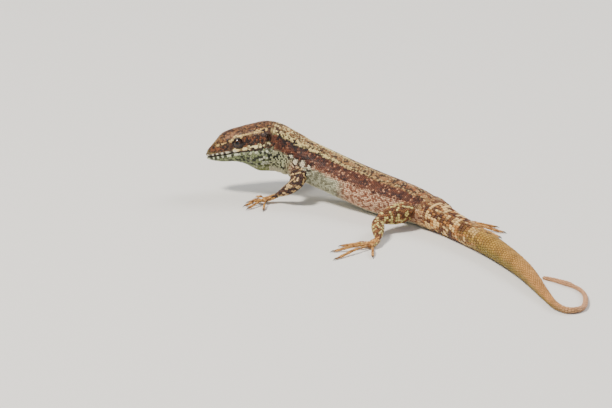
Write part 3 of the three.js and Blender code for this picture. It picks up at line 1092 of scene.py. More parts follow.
def raise_faces(mesh, kind):
    """Gives each face of the mesh an underside, walls, a lifted face and a raised middle."""
    _, height, rise, _, _, _ = KINDS[kind]
    work = bmesh.new()
    work.from_mesh(mesh)
    level = work.verts.layers.int.new("level")
    tops = work.faces[:]
    underside(work)
    for number, depth in ((1, height + LAID), (2, rise)):
        before = len(work.verts)
        bmesh.ops.inset_individual(work, faces=tops, thickness=0.0, depth=depth)
        work.verts.ensure_lookup_table()
        for vert in work.verts[before:]:
            vert[level] = number
    bmesh.ops.remove_doubles(work, verts=work.verts, dist=1e-5)
    work.to_mesh(mesh)
    work.free()


def raise_shield(patch, root, size, kind):
    """The same for one large patch, whose many faces rise together, over a softer edge."""
    height = KINDS[kind][1]
    level = patch.verts.layers.int.new("level")
    patch.normal_update()
    tops = patch.faces[:]
    underside(patch)
    for number, narrower, share in ((3, 0.25, 0.7), (4, 0.85, 1.0)):
        bmesh.ops.inset_region(patch, faces=tops, thickness=0.0, depth=0.0, use_boundary=True)
        for vert in {v for f in tops for v in f.verts}:
            vert.co = root.lerp(vert.co, 1 - narrower * SHIELD_SLOPE / size)
            ground_point, normal, _, _ = skin_tree.find_nearest(vert.co)
            vert.co = ground_point + normal * height * share
            vert[level] = number


print("a granule stands %.2f mm high" % sum(KINDS["granule"][1:3]))

# %% [markdown]
# Ten thousand objects would be slow to handle, and one mesh would be too large to keep as
# one file. So the scales are joined to five coat pieces, by the part of the body. All small
# scales of one piece and kind go through the operators together, in one call.

# %% Raise the scales
coats = {}
for (piece, kind), cut in polygons.items():
    corners = [c for _, loop in cut for c in loop]
    faces, start = [], 0
    for _, loop in cut:
        faces.append(tuple(range(start, start + len(loop))))
        start += len(loop)
    mesh = bpy.data.meshes.new(piece)
    mesh.from_pydata(corners, [], faces)
    mesh.attributes.new("scale", "INT", "FACE").data.foreach_set("value", [index for index, _ in cut])
    raise_faces(mesh, kind)
    coats.setdefault(piece, bmesh.new()).from_mesh(mesh)
    bpy.data.meshes.remove(mesh)
for index, patch in shields:
    raise_shield(patch, scales[index][0], scales[index][3], scales[index][4])
    mesh = mesh_of(patch, "shield")
    mesh.attributes.new("scale", "INT", "FACE").data.foreach_set("value", [index] * len(mesh.polygons))
    coats.setdefault(piece_of(index), bmesh.new()).from_mesh(mesh)
    bpy.data.meshes.remove(mesh)
for piece, coat in coats.items():
    print(piece, sum(len(f.verts) - 2 for f in coat.faces), "triangles")

# %% [markdown]
# A bake writes the colours of a surface into a picture, by an unwrap. Unwrapped one by one,
# ten thousand scales would leave more gaps than scales. So only the skin is unwrapped, and
# every scale gets a small patch at its root's place on that unwrap: a baked colour then
# belongs to one scale only.

# %% Unwrap the skin
def read(members, name, width=1, kind=np.int32):
    """One property of every member of a mesh, as an array with a row for each."""
    values = np.zeros(len(members) * width, kind)
    members.foreach_get(name, values)
    return values if width == 1 else values.reshape(-1, width).astype(float)


skin.select_set(True)
bpy.context.view_layer.objects.active = skin
remeshed.uv_layers.new(name="OFBake")
bpy.ops.object.mode_set(mode="EDIT")
bpy.ops.mesh.select_all(action="SELECT")
bpy.ops.uv.smart_project(angle_limit=math.radians(66), island_margin=0.002, scale_to_bounds=False)
bpy.ops.object.mode_set(mode="OBJECT")
skin_uv = read(remeshed.uv_layers["OFBake"].data, "uv", 2, np.float32)
loop_total = read(remeshed.polygons, "loop_total")
face_uv = np.add.reduceat(skin_uv, read(remeshed.polygons, "loop_start")) / loop_total[:, None]
print("skin unwrapped, uses %.2f of the square's width" % (skin_uv.max(0) - skin_uv.min(0)).max())

# %% [markdown]
# Skin and scales share one set of markings. Each point carries its place on the animal:
# along the body, round it, on the head, on a limb. A small scale's points all carry the
# place of its root, so that it has one colour, as in life, and only large shields, which
# are mottled, keep a place for every point.

# %% Give the skin its place on the animal
LIP_SEAMS = np.array([(a[0] + b[0]) / 2 for a, b in zip(UPPER_LIP, UPPER_LIP[1:])])
MEASURES = ("along", "around", "across", "limb", "chance", "seam", "bar", "mouth", "hole")


def mark(mesh, place, limb, chance, seam):
    """Stores the measures that the markings read, as attributes of the mesh's points."""
    along, around, _ = body_place(place)
    head = both_sides(place)
    bar = smooth_step(0.36, 0.16, np.abs(head[:, :1] - LIP_SEAMS).min(1))
    mouth = head[:, 2] - mouth_height(head[:, 0])
    # where painted shade darkens the hollows of the nostrils and ears
    hole = np.maximum(smooth_step(0.3, 0.15, distance_to(head, NOSTRIL, NOSTRIL)),
                      smooth_step(0.5, 0.3, distance_to(head, EAR_TOP, EAR_BOTTOM)))
    measured = (along, np.abs(around), np.sin(np.pi * around), limb, chance, seam, bar, mouth, hole)
    for name, values in zip(MEASURES, measured):
        mesh.attributes.new(name, "FLOAT", "POINT").data.foreach_set("value", np.asarray(values, np.float32))
    for name, values in (("place", place), ("on_head", head)):
        layer = mesh.attributes.new(name, "FLOAT_VECTOR", "POINT")
        layer.data.foreach_set("vector", np.asarray(values, np.float32).ravel())


def finish(obj, slot, *solids):
    """Brings a piece to metres, joins it to the frame and hides the solids it replaces."""
    obj.data.transform(Matrix.Scale(MM, 4))
    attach(obj, "root")
    if solids:
        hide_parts(*solids)


skin_points = read(remeshed.vertices, "co", 3, np.float32)
skin_kinds = kinds_here(FEET).astype(float)
mark(remeshed, skin_points, skin_kinds, np.full(len(skin_points), 0.5), np.ones(len(skin_points)))
finish(skin, "skin", *flesh)
print("skin marked with", len(remeshed.attributes), "layers, in place of", len(flesh), "solids")

# %% [markdown]
# Before the scales are shaped, what is known of each is put into arrays with a row for
# each scale, so that a whole coat piece can be worked on at once. The chance number is
# drawn here, one for each scale, and later makes it a shade lighter or darker.

# %% Measures of every scale
root_at = np.array([scale[0] for scale in scales])
normal_at = np.array([scale[1] for scale in scales])
growth_at = np.array([scale[2] for scale in scales])
size_at = np.array([max(scale[3], 0.1) for scale in scales])
tilt_at, rim_at, crown_at = np.array([KINDS[scale[4]][3:] for scale in scales]).T
keeled = np.array([scale[4] == "ring" for scale in scales])
face_at = [skin_tree.find_nearest(scale[0])[2] for scale in scales]
limb_at = np.array([skin_kinds[remeshed.polygons[face].vertices[0]] for face in face_at])
uv_at = face_uv[face_at]
chance_at = rng.random(len(scales))
print("scales measured:", len(root_at), "with a keel:", int(keeled.sum()))

# %% [markdown]
# On the animal scales overlap a little towards the tail, and those of the tail have a keel.
# True overlaps would need room that the skin hasn't got, so here the rear edges stand up.
# Each point is taken apart into how far behind, beside and above its root it is. These are
# changed by its level and put together again.

# %% Give the scales their slopes, places and patches
PATCH = 0.003        # width of a granule's patch on the unwrap; a large shield's is wider
KEEL = 0.4           # how narrow the crown of a tail scale is
FRECKLED = 0.33      # scales larger than this may have more than one colour


def slope(of_point, level, points):
    """Draws the upper levels in towards their root and lifts the rear edges."""
    ahead, up = growth_at[of_point], normal_at[of_point]
    over = np.cross(up, ahead)
    off = points - root_at[of_point]
    behind, across, height = [np.einsum("ij,ij->i", off, axis) for axis in (ahead, over, up)]
    share = np.choose(level, [1.0, rim_at[of_point], crown_at[of_point], 1.0, 1.0])
    keel = np.where((level == 2) & keeled[of_point], KEEL, 1.0)
    behind, across = behind * share, across * share * keel
    lift = tilt_at[of_point] * np.maximum(behind + size_at[of_point], 0)
    height += np.where((level == 1) | (level == 2), lift, 0)
    co = root_at[of_point] + ahead * behind[:, None] + over * across[:, None] + up * height[:, None]
    co[:, 2] = np.maximum(co[:, 2], 0.0)
    return co, np.stack([behind, across], 1)


coat_objects = []
for piece, coat in coats.items():
    mesh = mesh_of(coat, piece)
    of_loop = np.repeat(read(mesh.attributes["scale"].data, "value"), read(mesh.polygons, "loop_total"))
    point_of_loop = read(mesh.loops, "vertex_index")
    of_point = np.zeros(len(mesh.vertices), int)
    of_point[point_of_loop] = of_loop
    level = read(mesh.attributes["level"].data, "value")
    co, flat = slope(of_point, level, read(mesh.vertices, "co", 3, np.float32))
    mesh.vertices.foreach_set("co", co.ravel())
    spread = np.clip(flat / (4 * size_at[of_point])[:, None], -0.5, 0.5)
    patch_width = PATCH * np.maximum(size_at[of_point] / 0.25, 1)[:, None]
    layer = mesh.uv_layers.new(name="OFBake")
    layer.data.foreach_set("uv", (uv_at[of_loop] + (patch_width * spread)[point_of_loop]).ravel())
    place = np.where((size_at[of_point] > FRECKLED)[:, None], co, root_at[of_point])
    mark(mesh, place, limb_at[of_point], chance_at[of_point], (level == 0) * 1.0)
    for spent in ("scale", "level"):
        mesh.attributes.remove(mesh.attributes[spent])
    coat_objects.append(rounded(piece, mesh))
    finish(coat_objects[-1], "skin")
print("coat pieces:", [o.name for o in coat_objects])

# %% [markdown]
# A finish that follows the animal needs many masks, and maths between them. Wired by hand it
# would be hard to read, while as ordinary sums it reads like a recipe. This small class
# wraps a socket of a material, so that 1 - mask or a * b adds the Math node it means, and
# one method adds any other node.

# %% Shader maths
class Shade:
    """A socket of a material, with Python's operators."""

    def __init__(self, tree, socket):
        self.tree, self.socket = tree, socket

    def node(self, kind, settings=None, output=0, **sockets):
        """Adds a node: its settings first, then a value or a link for each named socket."""
        made = self.tree.nodes.new(kind)
        for name, value in (settings or {}).items():
            setattr(made, name, value)
        for name, value in sockets.items():
            socket = made.inputs[int(name[1:]) if name[1:].isdigit() else name.replace("_", " ")]
            if isinstance(value, Shade):
                self.tree.links.new(value.socket, socket)
            else:
                socket.default_value = value
        return Shade(self.tree, made.outputs[output])

    def maths(self, operation, a, b=0.0, c=0.0):
        """A Math node."""
        return self.node("ShaderNodeMath", {"operation": operation}, 0, s0=a, s1=b, s2=c)

    def __add__(self, other):
        return self.maths("ADD", self, other)

    def __sub__(self, other):
        return self.maths("SUBTRACT", self, other)

    def __rsub__(self, other):
        return self.maths("SUBTRACT", other, self)

    def __mul__(self, other):
        return self.maths("MULTIPLY", self, other)

    def __truediv__(self, other):
        return self.maths("DIVIDE", self, other)

    def __rtruediv__(self, other):
        return self.maths("DIVIDE", other, self)

    __radd__, __rmul__ = __add__, __mul__

    def step(self, low, high):
        """0 below low, 1 above high, an even rise between."""
        return self.node("ShaderNodeMapRange", {"interpolation_type": "SMOOTHSTEP"}, 0, Value=self,
                         From_Min=low, From_Max=high, To_Min=0.0, To_Max=1.0)

    def between(self, low, high, soft):
        """1 between low and high, with soft edges."""
        return self.step(low - soft, low + soft) * (1 - self.step(high - soft, high + soft))

    def either(self, other):
        """The larger of two masks."""
        return self.maths("MAXIMUM", self, other)

    def clamp(self):
        """Cut off below 0 and above 1."""
        return self.node("ShaderNodeClamp", {}, 0, Value=self)

    def rescale(self, low, high, to_low, to_high):
        """Brings the stretch from low to high to another one, and keeps within it."""
        return self.node("ShaderNodeMapRange", {}, 0, Value=self, From_Min=low, From_Max=high,
                         To_Min=to_low, To_Max=to_high)

    def over(self, below, colour):
        """This mask lays a colour over another."""
        return self.node("ShaderNodeMix", {"data_type": "RGBA", "blend_type": "MIX"}, 2,
                         s0=self, s6=below, s7=colour)

    def stored(self, name, output="Fac"):
        """A measure stored on the mesh's points."""
        return self.node("ShaderNodeAttribute", {"attribute_name": name}, output)

    def fine_noise(self, scale, detail):
        """Noise that is fixed to the object, with this many features to the metre."""
        return self.node("ShaderNodeTexNoise", {}, 0, Vector=self.node("ShaderNodeTexCoord", {}, "Object"),
                         Scale=scale, Detail=detail)

    def feed(self, shader, name):
        """Links this value to a socket of the shader."""
        self.tree.links.new(self.socket, shader.inputs[name])


print("the class has", len([name for name in vars(Shade) if not name.startswith("_")]), "named methods")

# %% [markdown]
# Colours are easier to choose as 0 to 255 for red, green and blue, as on a screen, but the
# shader works with linear light. One helper converts them, and one makes a material whose
# even values, such as roughness, are set on the shader's own sockets.

# %% Paint and materials
def paint(*code):
    """A colour written as red, green and blue from 0 to 255, as the shader wants it."""
    shares = [c / 255 for c in code]
    return tuple(c / 12.92 if c < 0.04045 else ((c + 0.055) / 1.055) ** 2.4 for c in shares) + (1.0,)


def new_material(name, roughness, coat=0.0):
    """A material with a plain shader; returns it, its shader node and a Shade to build from."""
    material = bpy.data.materials.new(name)
    material.use_nodes = True
    shader = material.node_tree.nodes["Principled BSDF"]
    shader.inputs["Roughness"].default_value = roughness
    shader.inputs["Coat Weight"].default_value = coat
    return material, shader, Shade(material.node_tree, None)


print("a mid grey of 128 is", [round(v, 3) for v in paint(128, 128, 128)])

# %% [markdown]
# The markings, from the back down: a tan back with dark specks, a broken cream stripe, a
# dark red-brown band from the ear to the hip, a paler netted flank, a pale belly. The
# head, the legs and the regrown tail have colours of their own. Each is a mask laid over
# what is below it. The masks are made from the places stored on the points and from soft
# noise, so they follow the body round every bend and never line up with the mesh.

# %% Measures and noises for the markings
FLANK = 13.0         # millimetres round the flank for a whole turn from back to belly


class Marks:
    """What the markings are made from, for one material."""

    def __init__(self, s):
        self.s = s
        for label in MEASURES:
            setattr(self, label, s.stored(label))
        self.place = s.stored("place", "Vector")
        on_face = s.stored("on_head", "Vector")
        self.back, self.side, self.above = [s.node("ShaderNodeSeparateXYZ", {}, k, Vector=on_face)
                                            for k in range(3)]
        upright = s.maths("COSINE", self.around * math.pi)
        self.lengthwise = s.node("ShaderNodeCombineXYZ", {}, 0, X=self.along * 0.45, Y=self.across * 3.8,
                                 Z=upright * 3.8)

    def moved(self, vector, shift):
        """The place moved aside, so that two patterns don't share their spots."""
        return self.s.node("ShaderNodeVectorMath", {"operation": "ADD"}, 0, s0=vector, s1=shift)

    def noise(self, size, seed, detail=2.0, vector=None):
        """Soft noise from 0 to 1 with features about this many millimetres wide."""
        return self.s.node("ShaderNodeTexNoise", {}, 0, Scale=1 / size, Detail=detail, Roughness=0.6,
                           Vector=self.moved(vector or self.place, (seed, seed * 2, -seed)))

    def net(self, size, seed):
        """0 on the lines of a net and 1 in the middle of its meshes."""
        return self.s.node("ShaderNodeTexVoronoi", {"feature": "DISTANCE_TO_EDGE"}, 0, Scale=1 / size,
                           Vector=self.moved(self.place, (seed, -seed, seed)))

    def near(self, a, b, width):
        """1 on a line between two places of the head, falling to 0 at its width."""
        way = [q - p for p, q in zip(a, b)]
        length = sum(w * w for w in way)
        off = [axis - p for axis, p in zip((self.back, self.above), a)]
        share = ((off[0] * way[0] + off[1] * way[1]) / length).clamp()
        x, y = off[0] - share * way[0], off[1] - share * way[1]
        return 1 - (x * x + y * y).step((width * 0.6) ** 2, width ** 2)

    def spot(self, along, around, radius):
        """1 inside a round spot of the flank."""
        x, y = (self.along - along) / radius, (self.around - around) * FLANK / radius
        return 1 - (x * x + y * y).step(0.7, 1.2)


print("measures that the markings read:", ", ".join(MEASURES))

# %% [markdown]
# The body could be painted by hand on its unwrap, but not on ten thousand scales as well.
# So it is painted by rule, from the back down, the broad colours first and the flecks over
# them. Small scales show one colour each, so a soft mask breaks up into whole scales by
# itself. Near the head the marks are darker and sharper, and behind the arm they fade.

# %% Colours of the body
# Pale spots behind the head: how far along, how far round, and radius.
OCELLI = [(20.4, 0.405, 0.42), (21.8, 0.455, 0.60), (23.6, 0.435, 0.68), (25.6, 0.44, 0.50)]


def body_colour(m):
    """Back, stripe, band, flank and belly."""
    fine, speck, patchy, grain = m.noise(0.5, 3), m.noise(0.85, 11), m.noise(1.6, 23), m.noise(0.4, 31)
    long_fleck = m.noise(0.62, 7, 1.5, m.lengthwise)
    fore = 1 - m.along.step(20, 36)
    tan = m.along.step(36, 52).over(paint(166, 126, 76), paint(156, 96, 54))
    colour = (speck.step(0.50, 0.60) * 0.7).over(tan, paint(196, 158, 104))
    colour = (grain.step(0.50, 0.58) * 0.55).over(colour, paint(104, 64, 38))
    colour = (long_fleck.step(0.50, 0.55) * 0.92).over(colour, paint(50, 29, 19))
    colour = (fine.step(0.59, 0.63) * (0.6 + fore * 0.3)).over(colour, paint(220, 194, 134))
    nape = 1 - m.along.step(22, 32)
    colour = (nape * speck.step(0.52, 0.57) * 0.85).over(colour, paint(62, 38, 25))
    colour = (nape * grain.step(0.46, 0.40) * 0.8).over(colour, paint(226, 204, 140))
    wander = m.around + patchy * 0.07 + speck * 0.06 + m.along.step(17, 27) * 0.04
    band = wander.between(0.29, 0.52, 0.02)
    rust = (patchy.step(0.44, 0.58)).over(paint(64, 31, 22), paint(98, 54, 34))
    rust = (grain.step(0.52, 0.60) * 0.6).over(rust, paint(132, 76, 48))
    colour = band.over(colour, rust)
    colour = (band * speck.step(0.54, 0.58) * (0.35 + fore * 0.6)).over(colour, paint(26, 13, 9))
    ruddy = band * fine.step(0.60, 0.63) * (0.4 + m.along.step(22, 30) * 0.5)
    colour = ruddy.over(colour, paint(194, 138, 100))
    edge = (wander.between(0.245, 0.32, 0.02)) * speck.step(0.42, 0.50) * fore
    colour = (edge * 0.9).over(colour, paint(20, 11, 8))
    stripe = wander.between(0.21, 0.28, 0.012) * long_fleck.step(0.60, 0.54) * grain.step(0.64, 0.58)
    stripe = stripe * (1 - m.along.step(24, 44) * 0.85)
    colour = (stripe * 0.97).over(colour, paint(230, 208, 138))
    low = m.net(1.15, 5).step(0.04, 0.13).over(paint(132, 84, 60), paint(212, 172, 138))
    low = (speck.step(0.52, 0.62) * 0.4).over(low, paint(156, 98, 68))
    lower = m.around + m.along.step(20, 28) * 0.06
    grey = m.along.between(23.5, 35, 2.0) * (lower + patchy * 0.06).step(0.50, 0.54)
    mesh_grey = speck.step(0.46, 0.56).over(paint(178, 180, 150), paint(112, 116, 92))
    low = (grey * 0.9).over(low, mesh_grey)
    colour = (lower + patchy * 0.10).step(0.485, 0.53).over(colour, low)
    throat = (1 - m.along.step(19, 23)) * (m.around + speck * 0.06).step(0.42, 0.5)
    pale = m.net(0.9, 9).step(0.05, 0.12).over(paint(34, 35, 22), paint(178, 178, 138))
    colour = throat.over(colour, pale)
    belly = speck.step(0.60, 0.68).over(paint(196, 190, 156), paint(110, 88, 66))
    colour = m.around.step(0.68, 0.76).over(colour, belly)
    for along, around, radius in OCELLI:
        colour = (m.spot(along, around, radius * 1.5) * 0.9).over(colour, paint(22, 13, 10))
        colour = m.spot(along, around, radius).over(colour, paint(226, 212, 180))
    return colour


print("pale spots behind the head:", len(OCELLI))

# %% [markdown]
# The tail starts with blotches and turns plain where it has grown anew after a loss. Real
# ones change scale by scale and not along a line, so each scale's chance number and a
# broad noise shift the place where it changes.

# %% Colours of the tail
REGROWN = (68, 79)   # where the blotched tail turns into the plain one


def tail_colour(m):
    """Blotched root of the tail, then the plain regrown part with painted shade on its lower side, and its
    curled end.
    """
    speck, blotch, patchy = m.noise(0.9, 13), m.noise(1.5, 29), m.noise(2.6, 17)
    blotched = speck.step(0.44, 0.58).over(paint(188, 126, 64), paint(104, 58, 30))
    blotched = ((blotch + m.chance * 0.14).step(0.55, 0.61) * 0.9).over(blotched, paint(226, 188, 124))
    blotched = ((blotch - m.chance * 0.10).step(0.43, 0.37) * 0.85).over(blotched, paint(66, 36, 22))
    plain = m.along.step(76, 112).over(paint(164, 126, 50), paint(196, 138, 74))
    plain = (patchy.step(0.45, 0.65) * 0.4).over(plain, paint(120, 84, 36))
    # painted shade: the lower side of the regrown tail is darkened towards olive
    plain = ((m.around + patchy * 0.1).step(0.38, 0.62) * 0.75).over(plain, paint(112, 98, 34))
    plain = m.along.step(112, 124).over(plain, paint(200, 150, 108))
    change = (m.along + patchy * 10 - 5 + m.chance * 7 - 3.5).step(*REGROWN)
    return change.over(blotched, plain)


print("the tail turns plain %d to %d mm from the snout" % REGROWN)

# %% [markdown]
# The forelegs are dark with cream spots, the hind legs browner, the digits tan. Legs bend
# away from the backbone, so how far round they are means nothing, and plain blotches of
# noise serve them better than stripes.

# %% Colours of the legs
HIND = (34, 42)      # between the forelegs and the hind legs, from the snout


def leg_colour(m):
    """Dark forelegs with cream spots, netted hind legs, tan digits."""
    hind = m.along.step(*HIND)
    spots = m.noise(0.8, 47, 0.0).step(0.56, 0.60)
    dark = m.noise(0.7, 53).step(0.45, 0.55).over(paint(46, 26, 22), paint(82, 52, 38))
    brown = m.noise(0.9, 53).step(0.45, 0.58).over(paint(92, 52, 26), paint(140, 90, 50))
    leg = hind.over(dark, brown)
    leg = (spots * 0.95).over(leg, hind.over(paint(206, 172, 118), paint(214, 196, 118)))
    digit = m.noise(0.9, 59).step(0.45, 0.6).over(paint(206, 150, 78), paint(150, 98, 50))
    return m.limb.step(1.2, 1.7).over(leg, digit)


print("hind legs are told from forelegs %d to %d mm from the snout" % HIND)

# %% [markdown]
# The head has its own axes, so its marks are placed by them: bands between two heights,
# lines between two points, and a ring round the eye. The bars of the upper lip stand on
# the seams between its shields. Noise breaks every line, because none is whole in life.

# %% Colours of the head
def head_colour(m):
    """Mottled crown, dark mask, pale brow and cheek lines, barred lips, green jaw, and painted shade in the
    groove of the mouth.
    """
    fine, speck, patchy = m.noise(0.38, 3), m.noise(0.7, 61), m.noise(1.3, 67)
    crown = m.back.step(1.0, 5.5).over(paint(118, 98, 42), paint(118, 76, 44))
    crown = (patchy.step(0.44, 0.60) * 0.9).over(crown, paint(72, 44, 27))
    crown = (speck.step(0.51, 0.57) * 0.92).over(crown, paint(34, 20, 14))
    crown = (fine.step(0.57, 0.64) * 0.65).over(crown, paint(174, 130, 78))
    mask = m.back.between(1.2, 6.8, 0.4) * m.above.between(0.95, 2.1, 0.2)
    behind_eye = m.back.between(8.6, 14.8, 0.4) * m.above.between(0.9, 2.9, 0.25)
    mask = mask.either(behind_eye * m.side.step(2.4, 3.0))
    dark = speck.step(0.50, 0.57).over(paint(34, 20, 15), paint(112, 66, 37))
    colour = (mask * 0.95).over(crown, dark)
    brow = m.near((2.6, 2.1), (6.4, 2.75), 0.26).either(m.near((6.4, 2.9), (9.0, 3.25), 0.36))
    brow = brow.either(m.near((9.0, 3.25), (14.5, 3.3), 0.34)) * m.side.step(1.2, 1.8)
    colour = (brow * speck.step(0.58, 0.52)).over(colour, paint(204, 168, 102))
    cheek = m.near((6.6, 0.80), (9.4, 0.70), 0.40).either(m.near((9.4, 0.70), (14.3, 0.5), 0.46))
    colour = (cheek * speck.step(0.59, 0.53)).over(colour, paint(212, 196, 142))
    below = m.back.between(6.0, 14.2, 0.4) * m.above.between(-0.75, 0.22, 0.12) * speck.step(0.42, 0.50)
    colour = (below * 0.95).over(colour, paint(40, 30, 22))
    x, y = m.back - float(EYE[0]), m.above - float(EYE[2] + 0.2)
    far, by_eye = x * x + y * y, m.side.step(2.2, 2.6)
    colour = ((1 - far.step(1.3, 1.7)) * by_eye * 0.9).over(colour, paint(26, 16, 12))
    lid_line = far.between(1.55, 2.6, 0.15) * (y * y).step(0.5, 0.9) * by_eye * speck.step(0.60, 0.54)
    colour = (lid_line * 0.9).over(colour, paint(210, 180, 116))
    jaw = 1 - m.mouth.step(-0.12, 0.0)
    green = m.net(1.0, 9).step(0.05, 0.12).over(paint(38, 41, 26), paint(124, 132, 90))
    green = (m.back.step(8.5, 11.0) * speck.step(0.5, 0.54) * 0.9).over(green, paint(206, 206, 176))
    green = ((1 - m.above.step(-4.6, -3.2)) * 0.7).over(green, paint(104, 110, 42))
    low_lip = (m.mouth + fine * 0.2).between(-0.56, -0.10, 0.05) * (1 - m.back.step(7.5, 9.5))
    blob = (m.bar + speck * 0.6).step(0.62, 0.50)
    green = (low_lip * 0.9).over(green, blob.over(paint(52, 54, 34), paint(196, 198, 168)))
    colour = jaw.over(colour, green)
    lips = (m.mouth + speck * 0.3).between(0.24, 0.72, 0.06) * (1 - (m.back + speck).step(7.2, 7.8))
    colour = (lips * m.back.step(0.3, 0.6)).over(colour, paint(208, 200, 172))
    colour = (lips * (m.bar + fine * 0.5).step(0.50, 0.62) * 0.9).over(colour, paint(52, 36, 26))
    # painted shade: a near-black line in the groove of the mouth
    line = m.mouth.between(-0.13, 0.12, 0.04) * (1 - m.back.step(10.8, 11.4))
    return line.over(colour, paint(18, 12, 10))


print("the ring round the eye lies at", [round(float(v), 2) for v in EYE], "on the head")

# %% [markdown]
# Scales are horn: neither matt nor wet, a little uneven in gloss, and with a grain too fine
# for the mesh. Skin and scales get the same material but for their seams, where the light
# is lost between scales, and each scale is a shade lighter or darker than the next.

# %% The material of skin and scales
BODY_TO_TAIL = (54, 60)              # where the body's colours turn into the tail's
# Painted shade: the bare skin in the gaps and the foot of every scale are darkened towards dark brown, for
# the light lost between scales.
SKIN_SEAM_SHADE, SCALE_SEAM_SHADE = 0.55, 0.6    # how dark the bare skin and the feet of the scales are


def lizard_material(name, seam_shade):
    """The markings of the whole animal, for the skin or for the scales."""
    material, shader, s = new_material(name, 0.5)
    shader.inputs["Specular IOR Level"].default_value = 0.35
    m = Marks(s)
    colour = m.along.step(*BODY_TO_TAIL).over(body_colour(m), tail_colour(m))
    colour = m.limb.step(0.4, 0.9).over(colour, leg_colour(m))
    on_face = (1 - (m.along + m.noise(1.3, 83) * 3.0).step(15.4, 16.5)) * (1 - m.limb.step(0.2, 0.5))
    colour = on_face.over(colour, head_colour(m))
    tint = m.chance.rescale(0.0, 1.0, 0.80, 1.12)
    tint = s.node("ShaderNodeCombineColor", {}, 0, s0=tint, s1=tint, s2=tint)
    colour = s.node("ShaderNodeMix", {"data_type": "RGBA", "blend_type": "MULTIPLY"}, 2,
                    s0=1.0, s6=colour, s7=tint)
    # painted shade in the seams between scales
    colour = (m.seam * seam_shade).over(colour, paint(30, 18, 13))
    # painted shade: the sunken nostrils and ear openings are painted almost black
    m.hole.over(colour, paint(10, 6, 5)).feed(shader, "Base Color")
    m.noise(0.5, 71).rescale(0.3, 0.7, 0.34, 0.56).feed(shader, "Roughness")
    s.node("ShaderNodeBump", {}, 0, Height=s.fine_noise(9000.0, 3.0), Strength=0.2,
           Distance=0.00003).feed(shader, "Normal")
    return material


remeshed.materials.clear()
remeshed.materials.append(lizard_material("lizard_skin", SKIN_SEAM_SHADE))
scale_material = lizard_material("lizard_scales", SCALE_SEAM_SHADE)
for obj in coat_objects:
    obj.data.materials.append(scale_material)
print("materials:", [m.name for m in bpy.data.materials if m.users])

# %% [markdown]
# The eye is a wet ball that sits deep behind the lids. A clear dome over a painted disc is
# the other way to make one, but at this size nobody could tell. It is one sphere, whose
# pole is the pupil, bulged a little there by the cornea. Each point keeps its angle from
# the pupil, and the colours follow that angle: a round black pupil, a thin golden rim and a
# dark brown iris with fine flecks. A clear coat over all of it gives the wet highlight.

# %% The material of the eyes
eye_material, eye_shader, eye_paint = new_material("wet_eye", 0.12, 1.0)
eye_shader.inputs["Coat Roughness"].default_value = 0.02
eye_shader.inputs["Coat IOR"].default_value = 1.38
eye_shader.inputs["Specular IOR Level"].default_value = 0.15
from_pupil = eye_paint.stored("angle")
iris = eye_paint.fine_noise(5200.0, 4.0).step(0.45, 0.70).over(paint(12, 7, 5), paint(62, 35, 16))
iris = (1 - from_pupil.step(0.70, 0.95)).over(paint(8, 5, 4), iris)
gold = from_pupil.between(0.385, 0.42, 0.015).over(iris, paint(126, 80, 30))
from_pupil.step(0.36, 0.39).over(paint(3, 2, 2), gold).feed(eye_shader, "Base Color")
print("the eye's material has", len(eye_material.node_tree.nodes), "nodes")

# %% [markdown]
# The ball is turned to where the animal looks, sideways and a little ahead and up. It is
# made at its place, and stands for the eye of the solids, which it replaces.

# %% Eyes
LOOK = (0.12, 0.95, 0.22)        # ahead, sideways and up
CORNEA = (0.045, 0.62)           # how far it bulges, in shares of the radius, and how wide it is


def eyeball(side, way):
    """One eye, made at its place, with each point's angle from the pupil."""
    ball = bmesh.new()
    bmesh.ops.create_uvsphere(ball, u_segments=64, v_segments=40, radius=EYEBALL)
    angle = ball.verts.layers.float.new("angle")
    for vert in ball.verts:
        vert[angle] = vert.co.angle(Vector((0, 0, 1)))
        vert.co *= 1 + CORNEA[0] * math.exp(-(vert[angle] / CORNEA[1]) ** 2)
    look = FORWARD * LOOK[0] + HEAD_LEFT * LOOK[1] * way + HEAD_UP * LOOK[2]
    bmesh.ops.transform(ball, matrix=look.to_track_quat("Z", "Y").to_matrix().to_4x4(), verts=ball.verts)
    bmesh.ops.translate(ball, vec=eye_middle(side), verts=ball.verts)
    obj = rounded("eyeball_" + side, mesh_of(ball, "eyeball_" + side))
    obj.data.materials.append(eye_material)
    finish(obj, "eye", "eye_" + side)
    return obj


eyes = [eyeball("left", 1), eyeball("right", -1)]
print("eyes:", [len(eye.data.polygons) for eye in eyes])

# %% [markdown]
# Claws are hooks of dark horn, flatter from side to side than from top to bottom. A curve
# with a bevel would make round ones. A cone is cut across into short lengths instead, so
# that it can be bent: each point rises a little on the way and sinks towards the tip.

# %% Claws
CUTS = 8             # lengths that a claw is cut into
CLAW_ROOT = 0.3      # how far its root reaches into the digit
CLAW_RADII = (0.21, 0.02)    # at the root and at the point


def claw(work, tip, way):
    """One claw, its root inside the digit and its point at the solid's own tip."""
    length = CLAW + CLAW_ROOT
    root = Vector(tip - way * length)
    made = bmesh.ops.create_cone(work, segments=12, radius1=CLAW_RADII[0], radius2=CLAW_RADII[1],
                                 depth=length, cap_ends=True)
    verts = made["verts"]
    bmesh.ops.translate(work, vec=(0, 0, length / 2), verts=verts)
    for cut in range(1, CUTS):
        linked = {part for v in verts for part in (*v.link_edges, *v.link_faces)}
        made = bmesh.ops.bisect_plane(work, geom=verts + list(linked), plane_co=(0, 0, length * cut / CUTS),
                                      plane_no=(0, 0, 1))
        verts = list(set(verts) | {g for g in made["geom"] if isinstance(g, bmesh.types.BMVert)})
    ahead = Vector(way).normalized()
    side = ahead.cross(Vector((0, 0, 1))).normalized()
    above = side.cross(ahead)
    for vert in verts:
        share = vert.co.z / length
        vert[horn] = share
        vert.co = (root + side * vert.co.x * 0.8 + ahead * vert.co.z
                   + above * (vert.co.y * 1.15 + 0.10 * math.sin(share * math.pi) - 0.14 * share ** 2))
        vert.co.z = max(vert.co.z, 0.0)


